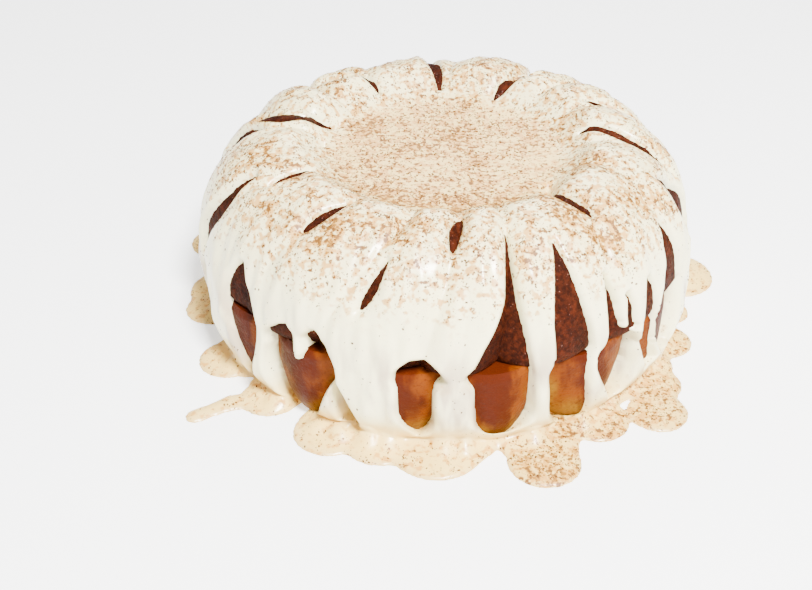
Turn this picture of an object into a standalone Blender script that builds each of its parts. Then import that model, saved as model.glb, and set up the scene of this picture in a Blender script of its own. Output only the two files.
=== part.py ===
"""Rum cake: two fluted ring cakes, stacked flat side to flat side, under a poured glaze.

Metres, +Z up. The origin is on the floor under the middle of the cake.
A bearing is in degrees, seen from above: 0 at the front (-Y), growing towards the right (+X).
"""
import math

import bmesh
import bpy
import numpy as np

# Sizes of the bare cakes
SEAM = 0.0430
CAKE_RADIUS = 0.1220
CREST_RADIUS = 0.0760
CREST_HEIGHT = 0.0985
SHOULDER_POWER = 2.12
HOLLOW_RADIUS = 0.0520
HOLLOW_FLOOR = 0.0810
BASE_RADIUS = 0.1080
BASE_POWER = 3.0
EDGE_ROUND = 0.0016
TOUCH_GAP = 0.0003
GLAZE_GAP = 0.000345

# Flutes: sixteen lobes between sharp creases. Each crease's bearing at the seam, its bearing at the
# crest, and how deep it is, as a share of the full depth
LOBES = 16
LOBE_FACES = 6
LOBE_ROUNDNESS = 1.8
UPPER_CREASES = (
    (-169, -149, 0.8), (-147, -128, 1.0), (-123, -110, 0.8), (-99, -97, 1.0), (-77, -62, 0.5),
    (-54, -34, 0.3), (-32, -13, 0.8), (-7, 3, 0.9), (10.5, 17, 1.0), (34.5, 45, 0.5), (57, 68, 0.25),
    (79, 88, 0.6), (101, 115, 0.9), (124, 134, 0.8), (146, 151.5, 1.0), (168.5, 177.5, 0.9),
)
CREASE_TURN = 0.9
LOWER_CREASES = (
    (-178, -178, 1), (-155, -155, 1), (-133.5, -133.5, 1), (-110.5, -110.5, 1), (-88.5, -88.5, 1),
    (-66.5, -66.5, 1), (-45.5, -45.5, 1), (-23.8, -23.8, 1), (-1, -1, 1), (20.5, 20.5, 1),
    (45.5, 45.5, 1), (67, 67, 1), (88, 88, 1), (111, 111, 1), (134, 134, 1), (156.5, 156.5, 1),
)
UPPER_STAGES = (0.0, 1.05, 1.5, 2.0, 2.2, 2.42, 2.64, 2.84, 2.97)
LOWER_STAGES = (3.06, 3.3, 3.52, 3.72, 3.87, 4.0)
UPPER_CREASE_DEPTH = ((1.0, 0.0), (1.5, 0.0015), (2.0, 0.0040), (2.5, 0.0075), (3.0, 0.0090))
LOWER_CREASE_DEPTH = ((3.0, 0.0070), (3.3, 0.0085), (3.6, 0.0120), (3.8, 0.0155), (4.0, 0.0180))
LOWER_CREASE_LIFT = 0.3

# Glaze
GLAZE_REACH = 0.175
SHOULDER_GLAZE = 0.0030
# The glaze's outer surface over the hollow and its slope: stage, radius, height
GLAZE_TOP = (
    (0.0, 0.0000, 0.0885), (0.5, 0.0280, 0.0885), (0.85, 0.0476, 0.0886), (1.0, 0.0545, 0.0891),
    (1.2, 0.0602, 0.0909), (1.5, 0.0662, 0.0953), (1.8, 0.0718, 0.0998), (2.0, 0.0760, 0.1015),
)
# The glaze's outer surface from the seam to the puddles: stage, radius, height
GLAZE_SIDE = (
    (3.0, 0.1250, 0.0430), (3.2, 0.1256, 0.0325), (3.4, 0.1252, 0.0225), (3.6, 0.1234, 0.0140),
    (3.8, 0.1208, 0.0082), (4.0, 0.1196, 0.0046), (4.15, 0.1225, 0.0034), (4.4, 0.1330, 0.0030),
    (5.0, 0.1750, 0.0030),
)
GLAZE_RIPPLE = ((1.0, 0.0), (1.4, 0.0014), (2.0, 0.0040), (2.5, 0.0030), (3.0, 0.0012), (3.2, 0.0))
PUDDLE_RISE = 0.0150
PUDDLE_RISE_POWER = 0.42
LIP_WIDTH = 0.0040
BURIED_AT_EDGE = 0.0012
BURIED_INSIDE = 0.0040
FOOT_BLEND = 0.0040
FLOOR_JOIN = 4.12
PUDDLE_SOFTNESS = 0.0015
FAR_AWAY = 0.0150
FLOOR_CUT_DEPTH = 0.0080
FLOOR_CUT_WIDTH = 0.60
SLIT_END_WIDTH = 0.0004
SLIT_LIP_SHARE = 0.6
SEAM_REACH = 0.06
SKIN_STEP = 0.0018
SKIN_TURNS = 420
SKIN_FACES = 4300

# Where the cake shows between the runs of glaze: height, left bearing, right bearing
WINDOWS = {
    "left flank slit": ((0.0965, -72.2, -70.8), (0.0925, -73.6, -71.0), (0.085, -75.0, -71.2),
                        (0.078, -76.6, -71.8), (0.068, -79.2, -73.0), (0.058, -81.6, -74.6),
                        (0.048, -83.0, -76.6), (0.042, -83.0, -79.6)),
    "left flank": ((0.042, -80.0, -73.5), (0.035, -83.0, -70.5), (0.025, -84.0, -69.5),
                   (0.012, -82.0, -71.5), (0.004, -79.5, -74.5)),
    "left shoulder": ((0.0705, -55.0, -54.0), (0.062, -57.6, -51.4), (0.052, -58.8, -49.0),
                      (0.045, -59.0, -48.0), (0.037, -57.8, -48.2), (0.029, -56.0, -48.4),
                      (0.020, -54.2, -49.2), (0.013, -53.2, -50.6), (0.009, -52.6, -52.0)),
    "forked": ((0.0560, -33.0, -30.8), (0.0530, -39.0, -29.6), (0.049, -41.6, -27.6),
               (0.044, -43.4, -26.2), (0.037, -43.4, -25.6), (0.031, -43.8, -26.1),
               (0.024, -43.8, -28.2), (0.014, -42.6, -30.4), (0.006, -40.0, -32.4),
               (0.002, -38.0, -33.4)),
    "sliver": ((0.031, -26.4, -25.2), (0.026, -26.2, -24.0), (0.019, -25.6, -22.6),
               (0.012, -24.6, -21.4), (0.007, -23.6, -21.4)),
    "arched": ((0.0512, -8.6, -5.8), (0.049, -9.9, -3.9), (0.045, -11.5, -2.6), (0.0405, -11.7, -1.7),
               (0.037, -11.3, -3.5), (0.030, -11.2, -3.9), (0.023, -11.0, -3.9), (0.017, -9.8, -4.0),
               (0.012, -8.0, -5.2), (0.0095, -7.0, -6.5)),
    "long left": ((0.100, 15.5, 16.1), (0.094, 13.7, 15.2), (0.086, 12.6, 14.9), (0.078, 11.8, 14.9),
                  (0.068, 9.6, 15.5), (0.0565, 6.6, 16.3), (0.048, 4.7, 16.8), (0.042, 3.0, 17.3),
                  (0.036, 4.8, 17.4), (0.026, 5.2, 17.5), (0.018, 5.7, 17.4), (0.013, 7.4, 15.6),
                  (0.0105, 9.5, 12.5)),
    "long right": ((0.095, 26.4, 27.0), (0.087, 24.6, 27.8), (0.079, 23.3, 28.5), (0.068, 22.3, 29.4),
                   (0.054, 22.2, 31.0), (0.046, 22.3, 31.3), (0.041, 21.6, 30.7), (0.036, 21.6, 30.6),
                   (0.028, 22.2, 30.9), (0.018, 22.8, 31.8), (0.010, 24.2, 32.0), (0.003, 27.5, 30.5)),
    "right pair": ((0.0795, 36.8, 37.5), (0.065, 36.3, 38.8), (0.0545, 36.1, 39.4),
                   (0.0515, 36.0, 41.4), (0.046, 35.2, 42.6), (0.041, 33.4, 44.4), (0.036, 33.0, 45.4),
                   (0.030, 34.0, 45.4), (0.022, 36.2, 45.0), (0.014, 38.2, 43.4), (0.010, 39.2, 41.0)),
    "thin right": ((0.0665, 41.5, 42.6), (0.060, 41.4, 43.5), (0.052, 41.3, 43.9), (0.047, 41.0, 43.9)),
    "crooked": ((0.0675, 49.0, 50.4), (0.060, 48.2, 51.9), (0.053, 47.8, 52.3), (0.047, 47.4, 52.4),
                (0.042, 47.0, 52.2), (0.034, 46.9, 52.2), (0.026, 48.2, 52.8), (0.018, 50.2, 54.0)),
    "banana": ((0.0815, 61.6, 63.6), (0.072, 59.2, 65.0), (0.064, 58.2, 65.8), (0.0555, 56.0, 66.0),
               (0.048, 54.2, 66.0), (0.042, 52.8, 66.0), (0.038, 52.8, 66.0), (0.032, 53.0, 66.0),
               (0.024, 54.8, 65.0), (0.017, 57.4, 62.5)),
    "right flank": ((0.091, 73.8, 76.6), (0.083, 73.8, 81.8), (0.074, 74.6, 86.4), (0.065, 76.4, 89.4),
                    (0.056, 78.6, 91.0), (0.048, 82.0, 90.6)),
}

# The far side repeats windows of the near side: name, middle bearing, mirrored
FAR_WINDOWS = (
    ("arched", 106, False), ("long right", 121, True), ("banana", 136, False), ("long left", 152, True),
    ("arched", 170, True), ("long right", -176, True), ("right pair", -161, True),
    ("long left", -146, False), ("crooked", -133, False), ("left shoulder", -119, False),
    ("arched", -103, True),
)

# Slits over the crest: radius, bearing, width
SLITS = (
    ((0.080, -35.7, 0.0008), (0.087, -37.5, 0.0038), (0.094, -39.2, 0.0048), (0.1005, -40.8, 0.0034),
     (0.103, -41.4, 0.0008)),
    ((0.1035, -15.9, 0.0008), (0.1085, -17.0, 0.0030), (0.114, -18.2, 0.0048), (0.1175, -19.4, 0.0044),
     (0.1195, -20.3, 0.0010)),
    ((0.074, 3.6, 0.0010), (0.080, 2.2, 0.0048), (0.087, 1.0, 0.0056), (0.0935, 0.4, 0.0038),
     (0.097, 0.0, 0.0010)),
    ((0.0595, 66.0, 0.0030), (0.065, 59.0, 0.0056), (0.072, 51.5, 0.0054), (0.0785, 46.2, 0.0046),
     (0.085, 44.4, 0.0034), (0.0905, 43.6, 0.0008)),
    ((0.068, 98.6, 0.0012), (0.073, 96.8, 0.0046), (0.080, 94.4, 0.0060), (0.088, 92.0, 0.0062),
     (0.096, 90.4, 0.0058), (0.106, 89.6, 0.0050), (0.117, 89.0, 0.0012)),
    ((0.066, 155.6, 0.0010), (0.072, 154.0, 0.0056), (0.081, 150.3, 0.0072), (0.090, 146.5, 0.0076),
     (0.099, 142.5, 0.0060), (0.106, 139.5, 0.0012)),
    ((0.066, -178.4, 0.0016), (0.073, -177.8, 0.0052), (0.085, -177.0, 0.0068), (0.096, -176.6, 0.0064),
     (0.108, -176.2, 0.0030)),
    ((0.068, -149.6, 0.0010), (0.074, -148.6, 0.0044), (0.084, -147.4, 0.0050), (0.094, -146.4, 0.0038),
     (0.100, -146.0, 0.0010)),
    ((0.079, -140.5, 0.0010), (0.084, -138.0, 0.0040), (0.092, -135.0, 0.0028)),
    ((0.0625, -116.0, 0.0020), (0.070, -107.8, 0.0090), (0.080, -104.6, 0.0114), (0.090, -104.8, 0.0116),
     (0.100, -107.0, 0.0096), (0.107, -109.5, 0.0010)),
    ((0.094, -98.6, 0.0010), (0.101, -100.0, 0.0070), (0.110, -102.5, 0.0080), (0.118, -106.0, 0.0012)),
    ((0.063, -96.0, 0.0010), (0.067, -89.5, 0.0048), (0.071, -84.0, 0.0010)),
    ((0.072, -64.6, 0.0008), (0.082, -64.0, 0.0038), (0.090, -64.2, 0.0042), (0.096, -64.8, 0.0008)),
    ((0.080, 118.6, 0.0010), (0.092, 115.0, 0.0050), (0.104, 112.0, 0.0012)),
)

# Drips that hang into the windows: bearing, height and half width, from the root to the tip
DRIPS = (
    ((-34.9, 0.0600, 0.0090), (-34.8, 0.0545, 0.0046), (-34.7, 0.0500, 0.0031), (-34.4, 0.0425, 0.0042)),
    ((40.8, 0.0640, 0.0026), (40.8, 0.0560, 0.0021), (40.8, 0.0515, 0.0024)),
    ((42.6, 0.0330, 0.0012), (42.2, 0.0270, 0.0020), (42.0, 0.0235, 0.0016)),
    ((170.5, 0.0640, 0.0030), (170.5, 0.0460, 0.0034)),
    ((-119.5, 0.0760, 0.0030), (-119.5, 0.0560, 0.0034)),
)

# Rounded swellings of the glaze: bearing, stage, radius, swell
BEADS = (
    (3.6, 4.14, 0.0062, 0.0050), (-1.2, 4.12, 0.0080, 0.0030), (-24.0, 4.13, 0.0085, 0.0042),
    (-18.2, 4.10, 0.0090, 0.0042), (-13.5, 4.05, 0.0085, 0.0030), (18.6, 4.10, 0.0080, 0.0040),
    (31.0, 4.08, 0.0075, 0.0036), (43.5, 4.08, 0.0080, 0.0036), (-42.0, 4.10, 0.0085, 0.0036),
    (-60.0, 4.08, 0.0080, 0.0030), (0.1, 3.12, 0.0070, 0.0009), (-30.5, 4.2, 0.0070, 0.0026),
    (62.0, 4.10, 0.0080, 0.0030), (-82.0, 4.08, 0.0080, 0.0030), (115.0, 4.08, 0.0080, 0.0030),
    (128.0, 4.1, 0.0080, 0.0030), (160.0, 4.1, 0.0080, 0.0034), (-169.0, 4.1, 0.0080, 0.0034),
    (-153.0, 4.1, 0.0080, 0.0034), (-126.0, 4.1, 0.0080, 0.0030), (-111.0, 4.1, 0.0080, 0.0030),
)

# Puddles on the floor: x, y, radius
PUDDLES = (
    (-0.056, -0.108, 0.0170), (-0.032, -0.114, 0.0175), (-0.006, -0.119, 0.0222), (0.010, -0.115, 0.0125),
    (0.043, -0.129, 0.0170), (0.043, -0.114, 0.0175), (0.033, -0.117, 0.0100), (0.070, -0.100, 0.0155),
    (0.100, -0.094, 0.0145), (0.102, -0.073, 0.0130), (0.101, -0.058, 0.0120), (0.112, -0.038, 0.0140),
    (0.118, -0.012, 0.0110), (0.127, 0.022, 0.0210), (0.108, 0.062, 0.0150), (0.092, 0.086, 0.0180),
    (0.056, 0.106, 0.0160), (0.028, 0.120, 0.0190), (-0.008, 0.118, 0.0160), (-0.040, 0.112, 0.0170),
    (-0.066, 0.104, 0.0200), (-0.098, 0.080, 0.0150), (-0.126, 0.055, 0.0160), (-0.118, 0.030, 0.0140),
    (-0.120, 0.008, 0.0165), (-0.122, -0.009, 0.0145), (-0.109, -0.053, 0.0150), (-0.086, -0.083, 0.0140),
)
RUNNEL = ((-0.088, -0.084), (-0.104, -0.087), (-0.120, -0.097))
RUNNEL_HALF_WIDTH = 0.0048

# Finishes: colour, roughness
GOLDEN_CRUST = ((0.38, 0.10, 0.012), 0.45)
DARK_CRUMB = ((0.055, 0.012, 0.005), 0.60)
CREAM_GLAZE = ((0.78, 0.745, 0.62), 0.35)


def eased(low, high, values):
    """Smooth 0 to 1 step between two values."""
    t = np.clip((values - low) / (high - low), 0.0, 1.0)
    return t * t * (3.0 - 2.0 * t)


def looked_up(table, values):
    rows = np.array(table)
    return np.interp(values, rows[:, 0], rows[:, 1])


def curve_through(stations, between=4):
    """Catmull-Rom curve through rows of numbers."""
    rows = np.array(stations, dtype=float)
    rows = np.vstack([2 * rows[0] - rows[1], rows, 2 * rows[-1] - rows[-2]])
    curve = []
    for a, b, c, d in zip(rows, rows[1:], rows[2:], rows[3:]):
        for t in np.arange(between) / between:
            square = 2 * a - 5 * b + 4 * c - d
            cube = 3 * b - a - 3 * c + d
            curve.append(0.5 * (2 * b + (c - a) * t + square * t ** 2 + cube * t ** 3))
    curve.append(rows[-2])
    return np.array(curve)


def plain_outline(stages):
    """Radius and height of the unfluted cakes at each stage.

    0 to 1 is the floor of the hollow, 1 to 2 its slope, 2 to 3 the shoulder down to the seam,
    3 to 4 the lower cake's side down to the floor, 4 to 5 the floor round the cake.
    """
    stages = np.asarray(stages, dtype=float)
    part = np.clip(stages[:, None] - np.arange(5), 0.0, 1.0)
    slope_rise = 0.5 - 0.5 * np.cos(math.pi * part[:, 1])
    shoulder = part[:, 2] * math.pi / 2
    side = part[:, 3] ** 1.5 * math.pi / 2
    shoulder_out = np.sin(shoulder) ** (2 / SHOULDER_POWER)
    shoulder_down = 1 - np.abs(np.cos(shoulder)) ** (2 / SHOULDER_POWER)
    side_in = 1 - np.abs(np.cos(side)) ** (2 / BASE_POWER)
    side_down = np.sin(side) ** (2 / BASE_POWER)
    radius = (HOLLOW_RADIUS * part[:, 0] + (CREST_RADIUS - HOLLOW_RADIUS) * part[:, 1]
              + (CAKE_RADIUS - CREST_RADIUS) * shoulder_out
              - (CAKE_RADIUS - BASE_RADIUS) * side_in + (GLAZE_REACH - BASE_RADIUS) * part[:, 4])
    height = (HOLLOW_FLOOR + (CREST_HEIGHT - HOLLOW_FLOOR) * slope_rise
              - (CREST_HEIGHT - SEAM) * shoulder_down - SEAM * side_down)
    return radius, height


class Flutes:
    """A ring of creases. A phase counts them: whole in a crease, half way between in a lobe's middle."""

    def __init__(self, creases, depths):
        foot, top, share = np.array(creases, dtype=float).T
        self.foot = np.concatenate([foot - 360, foot, foot + 360])
        self.turn = np.tile(top - foot, 3)
        self.share = np.tile(share, 3)
        self.depths = depths

    def creases_at(self, stage):
        """Every crease's bearing, one row for each stage."""
        turned = np.clip(3.0 - stage, 0.0, 1.0) ** CREASE_TURN
        return self.foot + turned[:, None] * self.turn

    def phase(self, bearing, stage):
        phase = np.empty(len(bearing))
        for start in range(0, len(bearing), 8192):
            part = slice(start, start + 8192)
            rows = self.creases_at(stage[part])
            before = (rows <= bearing[part, None]).sum(axis=1) - 1
            each = np.arange(len(before))
            low, high = rows[each, before], rows[each, before + 1]
            phase[part] = before + (bearing[part] - low) / (high - low)
        return phase

    def bearing(self, phase, stage):
        rows = self.creases_at(stage)
        before = np.floor(phase).astype(int)
        each = np.arange(len(before))
        low, high = rows[each, before], rows[each, before + 1]
        return low + (phase - before) * (high - low)

    def lobe(self, phase):
        """0 in the middle of a lobe, and the crease's share of the full depth in a crease."""
        share = np.interp(phase, np.arange(len(self.share)), self.share)
        return share * np.abs(2 * (phase % 1.0) - 1) ** LOBE_ROUNDNESS

    def depth(self, phase, stage):
        return self.lobe(phase) * looked_up(self.depths, stage)


UPPER_FLUTES = Flutes(UPPER_CREASES, UPPER_CREASE_DEPTH)
LOWER_FLUTES = Flutes(LOWER_CREASES, LOWER_CREASE_DEPTH)


def unevenness(bearing, height):
    """Slow swelling of a hand-filled tin, about a millimetre."""
    angle = np.radians(bearing)
    return (0.0005 * np.sin(3 * angle + 1.1) + 0.0004 * np.sin(7 * angle + 60 * height + 0.4)
            + 0.0003 * np.sin(13 * angle - 90 * height))


def crease_depths(bearing, stage):
    """Depth of the flutes below the plain outline, on either cake, and of the deeper one at the seam."""
    upper, lower = [flutes.depth(flutes.phase(bearing, stage), stage)
                    for flutes in (UPPER_FLUTES, LOWER_FLUTES)]
    depth = np.where(stage <= 3.0, upper, lower)
    return np.where(np.abs(stage - 3.0) < SEAM_REACH, np.maximum(upper, lower), depth)


def plain_normal(stages):
    """Outward direction of the plain outline at each stage."""
    around = np.stack([stages - 0.01, stages + 0.01]).clip(0.0, 5.0)
    before, after = [np.stack(plain_outline(row), axis=1) for row in around]
    along = after - before
    normal = np.stack([-along[:, 1], along[:, 0]], axis=1)
    return normal / np.linalg.norm(normal, axis=1)[:, None]


def crease_ways(stage, normal):
    """Which way the flutes are pressed: square to the upper cake, inwards and up on the lower one."""
    return np.where(stage[:, None] <= 3.0, normal, np.array([1.0, -LOWER_CREASE_LIFT]))


def place(bearing, radius, height):
    angle = np.radians(bearing)
    return np.stack([radius * np.sin(angle), -radius * np.cos(angle), height], axis=1)


def add_object(name, mesh, collection):
    piece = bpy.data.objects.new(name, mesh)
    collection.objects.link(piece)
    return piece


def settled_mesh(piece):
    """The mesh that an object's modifiers make."""
    bpy.context.view_layer.update()
    return bpy.data.meshes.new_from_object(piece.evaluated_get(bpy.context.evaluated_depsgraph_get()))


def turned_mesh(name, radius, height, steps, collection):
    """Turn an outline, which runs from the top of the axis to its foot, round the axis."""
    outline = bpy.data.meshes.new(name)
    corners = [(r, 0.0, z) for r, z in zip(radius, height)]
    outline.from_pydata(corners, [(i, i + 1) for i in range(len(corners) - 1)], [])
    piece = add_object(name, outline, collection)
    screw = piece.modifiers.new("Turn", "SCREW")
    screw.steps = steps
    screw.render_steps = steps
    screw.use_merge_vertices = True
    screw.merge_threshold = 0.00001
    mesh = settled_mesh(piece)
    bpy.data.objects.remove(piece)
    bpy.data.meshes.remove(outline)
    return mesh


def read_points(mesh):
    points = np.empty(len(mesh.vertices) * 3, dtype=np.float32)
    mesh.vertices.foreach_get("co", points)
    return points.reshape(-1, 3).astype(float)


def write_points(mesh, points):
    mesh.vertices.foreach_set("co", points.astype(np.float32).ravel())
    mesh.update()


def rows_of(points, radius, height):
    """The turned bearing of each point, and the row of the outline it was turned from."""
    spun = np.degrees(np.arctan2(points[:, 0], -points[:, 1]))
    off_axis = np.hypot(points[:, 0], points[:, 1])
    rows = np.empty(len(points), dtype=int)
    for start in range(0, len(points), 4096):
        part = slice(start, start + 4096)
        gap = (off_axis[part, None] - radius) ** 2 + (points[part, 2, None] - height) ** 2
        rows[part] = gap.argmin(axis=1)
    return spun, rows


def split_into_triangles(mesh):
    shape = bmesh.new()
    shape.from_mesh(mesh)
    bmesh.ops.triangulate(shape, faces=shape.faces)
    shape.to_mesh(mesh)
    shape.free()


def skin_rings(stages):
    """Rings of a cake's outer skin: radius, height, stage."""
    radius, height = plain_outline(stages)
    return list(zip(radius, height, stages))


def fluted_cake(name, rings, flutes, collection):
    """A cake whose outline of rings is turned, then pressed in along its creases."""
    radius, height, stages = np.array(rings).T
    way = crease_ways(stages, plain_normal(stages))
    way[np.abs(height - SEAM) < TOUCH_GAP, 1] = 0.0
    way[np.abs(height) < TOUCH_GAP, 1] = 0.0
    way[radius < EDGE_ROUND] = 0.0
    mesh = turned_mesh(name, radius, height, LOBES * LOBE_FACES, collection)
    spun, rows = rows_of(read_points(mesh), radius, height)
    stage, way, height = stages[rows], way[rows], height[rows]
    phase = spun / 360.0 * LOBES + LOBES * 1.5
    bearing = flutes.bearing(phase, stage)
    push = unevenness(bearing, height) - flutes.depth(phase, stage)
    write_points(mesh, place(bearing, radius[rows] + push * way[:, 0], height + push * way[:, 1]))
    split_into_triangles(mesh)
    return add_object(name, mesh, collection)


def grown_copy(piece, collection):
    """A cutter that stands the touching gap outside its piece."""
    mesh = piece.data.copy()
    normals = np.empty(len(mesh.vertices) * 3, dtype=np.float32)
    mesh.vertices.foreach_get("normal", normals)
    write_points(mesh, read_points(mesh) + GLAZE_GAP * normals.reshape(-1, 3))
    cutter = add_object(piece.name + "_room", mesh, collection)
    cutter.hide_render = True
    cutter.display_type = "WIRE"
    return cutter


def finish(name, colour, roughness):
    material = bpy.data.materials.new(name)
    material.use_nodes = True
    shader = material.node_tree.nodes["Principled BSDF"]
    shader.inputs["Base Color"].default_value = (*colour, 1.0)
    shader.inputs["Roughness"].default_value = roughness
    material.diffuse_color = (*colour, 1.0)
    return material


def outline_distance(across, down, corners_across, corners_down):
    """Distance to a closed outline, negative inside. Corners are one row for each point."""
    nearest = np.full(len(across), np.inf)
    crossings = np.zeros(len(across), dtype=int)
    total = corners_across.shape[1]
    for i in range(total):
        j = (i + 1) % total
        ax, ay = corners_across[:, i], corners_down[i]
        bx, by = corners_across[:, j], corners_down[j]
        ex, ey = bx - ax, by - ay
        px, py = across - ax, down - ay
        t = np.clip((px * ex + py * ey) / np.maximum(ex * ex + ey * ey, 1e-12), 0.0, 1.0)
        nearest = np.minimum(nearest, np.hypot(px - t * ex, py - t * ey))
        spans = (ay > down) != (by > down)
        if abs(ey) > 1e-12:
            crossings += spans & (px < py * ex / ey)
    return np.where(crossings % 2 == 1, -nearest, nearest)


def glazed_outline(stages):
    """Radius and height of the glaze's outer surface where it covers the cakes and the floor."""
    radius, height = plain_outline(stages)
    normal = plain_normal(stages)
    outline = np.stack([radius + SHOULDER_GLAZE * normal[:, 0], height + SHOULDER_GLAZE * normal[:, 1]])
    for table, drawn in ((GLAZE_TOP, stages < 2.0), (GLAZE_SIDE, stages > 3.0)):
        curve = curve_through(table, 12)
        for axis in (0, 1):
            outline[axis, drawn] = np.interp(stages[drawn], curve[:, 0], curve[:, axis + 1])
    return outline


class Skin:
    """The glaze's outer surface, as rows along one outline by turns round the axis."""

    def __init__(self, step):
        fine = np.linspace(0.0, 5.0, 4001)
        radius, height = glazed_outline(fine)
        run = np.concatenate([[0.0], np.cumsum(np.hypot(np.diff(radius), np.diff(height)))])
        self.run = np.linspace(0.0, run[-1], int(run[-1] / step))
        self.stage = np.interp(self.run, run, fine)
        self.radius, self.height = glazed_outline(self.stage)
        self.glazed = np.stack([self.radius, self.height], axis=1)
        cake_radius, cake_height = plain_outline(self.stage)
        joined = eased(4.0, FLOOR_JOIN, self.stage)
        cake_radius += (self.radius - cake_radius) * joined
        self.cake = np.stack([cake_radius, cake_height], axis=1)
        inward = self.cake - self.glazed
        self.inward = inward / np.linalg.norm(inward, axis=1)[:, None]
        self.crease_way = crease_ways(self.stage, plain_normal(self.stage))
        outer = (self.stage >= 2.0) & (self.stage <= 4.0)
        self.fall = (self.height[outer][::-1], self.run[outer][::-1])
        crown = self.stage <= 3.0
        self.spread = (self.radius[crown], self.run[crown])
        self.foot_run = np.interp(4.0, self.stage, self.run)

    def run_at_height(self, height):
        return np.interp(height, *self.fall)

    def run_at_radius(self, radius):
        return np.interp(radius, *self.spread)


def window_outline(stations, skin, middle=None, mirrored=False):
    """Corners of a window, as bearings and runs down the outline, moved to a middle bearing if given."""
    curve = curve_through(stations)
    left, right = curve[:, 1], curve[:, 2]
    if mirrored:
        left, right = -right, -left
    runs = skin.run_at_height(np.maximum(curve[:, 0], 0.0))
    bearings = np.concatenate([left, right[::-1]])
    if middle is not None:
        bearings += middle - bearings.mean()
    return bearings, np.concatenate([runs, runs[::-1]])


def slit_outline(stations, skin):
    curve = curve_through(stations)
    half = np.degrees(np.maximum(curve[:, 2], SLIT_END_WIDTH) / 2 / curve[:, 0])
    runs = skin.run_at_radius(curve[:, 0])
    bearings = np.concatenate([curve[:, 1] - half, (curve[:, 1] + half)[::-1]])
    return bearings, np.concatenate([runs, runs[::-1]])


def all_outlines(skin):
    """Every opening in the glaze, and how steeply its lip rounds over."""
    outlines = [(*window_outline(stations, skin), 1.0) for stations in WINDOWS.values()]
    outlines += [(*window_outline(WINDOWS[name], skin, middle, mirrored), 1.0)
                 for name, middle, mirrored in FAR_WINDOWS]
    outlines += [(*slit_outline(stations, skin), SLIT_LIP_SHARE) for stations in SLITS]
    return outlines


def turned_from(bearing, middle):
    return (bearing - middle + 180.0) % 360.0 - 180.0


def glazed_side(skin, bearing, run, radius):
    """Distance into the glaze on the cake's side and top, negative where the cake shows."""
    cover = np.full(len(bearing), FAR_AWAY)
    arm = np.maximum(radius, 0.02)
    for bearings, runs, steepness in all_outlines(skin):
        middle = bearings.mean()
        off = turned_from(bearing, middle)
        reach = np.degrees(FAR_AWAY / arm)
        near = ((off > bearings.min() - middle - reach) & (off < bearings.max() - middle + reach)
                & (run > runs.min() - FAR_AWAY) & (run < runs.max() + FAR_AWAY))
        corners = np.radians(bearings - middle)[None, :] * arm[near][:, None]
        gap = outline_distance(np.radians(off[near]) * arm[near], run[near], corners, runs)
        cover[near] = np.minimum(cover[near], gap * steepness)
    for drip in DRIPS:
        for middle, height, half_width in curve_through(drip, 10):
            across = np.radians(turned_from(bearing, middle)) * arm
            down = run - skin.run_at_height(height)
            cover = np.maximum(cover, half_width - np.hypot(across, down))
    return cover


def beads(skin, bearing, run, radius):
    """How far the rounded swellings raise the glaze."""
    swelling = np.zeros(len(bearing))
    for middle, stage, size, swell in BEADS:
        across = np.radians(turned_from(bearing, middle)) * radius
        down = run - np.interp(stage, skin.stage, skin.run)
        off = np.clip(np.hypot(across, down) / size, 0.0, 1.0)
        swelling = np.maximum(swelling, swell * (1 - off ** 2) ** 1.5)
    return swelling


def glazed_floor(x, y):
    """Distance into the puddles, negative on the bare floor."""
    total = np.zeros(len(x))
    for middle_x, middle_y, radius in PUDDLES:
        inside = radius - np.hypot(x - middle_x, y - middle_y)
        total += np.exp(np.clip(inside / PUDDLE_SOFTNESS, -40.0, 40.0))
    for (ax, ay), (bx, by) in zip(RUNNEL, RUNNEL[1:]):
        ex, ey = bx - ax, by - ay
        t = np.clip(((x - ax) * ex + (y - ay) * ey) / (ex * ex + ey * ey), 0.0, 1.0)
        inside = RUNNEL_HALF_WIDTH - np.hypot(x - ax - t * ex, y - ay - t * ey)
        total += np.exp(np.clip(inside / PUDDLE_SOFTNESS, -40.0, 40.0))
    return PUDDLE_SOFTNESS * np.log(np.maximum(total, 1e-9))


def glaze_points(skin, bearing, rows):
    """Where the glaze's outer surface lies, sunk into the cake and the floor where it is bare."""
    stage, run, radius, height = skin.stage[rows], skin.run[rows], skin.radius[rows], skin.height[rows]
    inward = skin.inward[rows]
    swell = unevenness(bearing, height) * eased(1.0, 1.6, stage)
    pressed = np.where(stage > 4.0, 0.0, crease_depths(bearing, stage) - swell)
    cake = skin.cake[rows] - pressed[:, None] * skin.crease_way[rows]
    phase = UPPER_FLUTES.phase(bearing, stage)
    ripple = (0.35 + 0.65 * UPPER_FLUTES.lobe(phase)) * np.abs(2 * (phase % 1.0) - 1) ** LOBE_ROUNDNESS
    sunken = ripple * looked_up(GLAZE_RIPPLE, stage) - swell - beads(skin, bearing, run, radius)
    top = skin.glazed[rows] + sunken[:, None] * inward
    side = glazed_side(skin, bearing, run, radius)
    angle = np.radians(bearing)
    floor = glazed_floor(radius * np.sin(angle), -radius * np.cos(angle))
    floor_share = eased(skin.foot_run - FOOT_BLEND, skin.foot_run + FOOT_BLEND, run)
    cover = side * (1 - floor_share) + floor * floor_share
    lip = np.sqrt(1 - (1 - np.clip(cover / LIP_WIDTH, 0.0, 1.0)) ** 2)
    meniscus = np.clip(cover / PUDDLE_RISE, 0.0, 1.0) ** PUDDLE_RISE_POWER
    rise = (lip + (meniscus - lip) * floor_share)[:, None]
    sunk = np.where(cover > 0, 0.0, np.minimum(BURIED_AT_EDGE - 2 * cover, BURIED_INSIDE))[:, None]
    surface = cake + (top - cake) * rise + sunk * inward
    return place(bearing, surface[:, 0], surface[:, 1])


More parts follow.
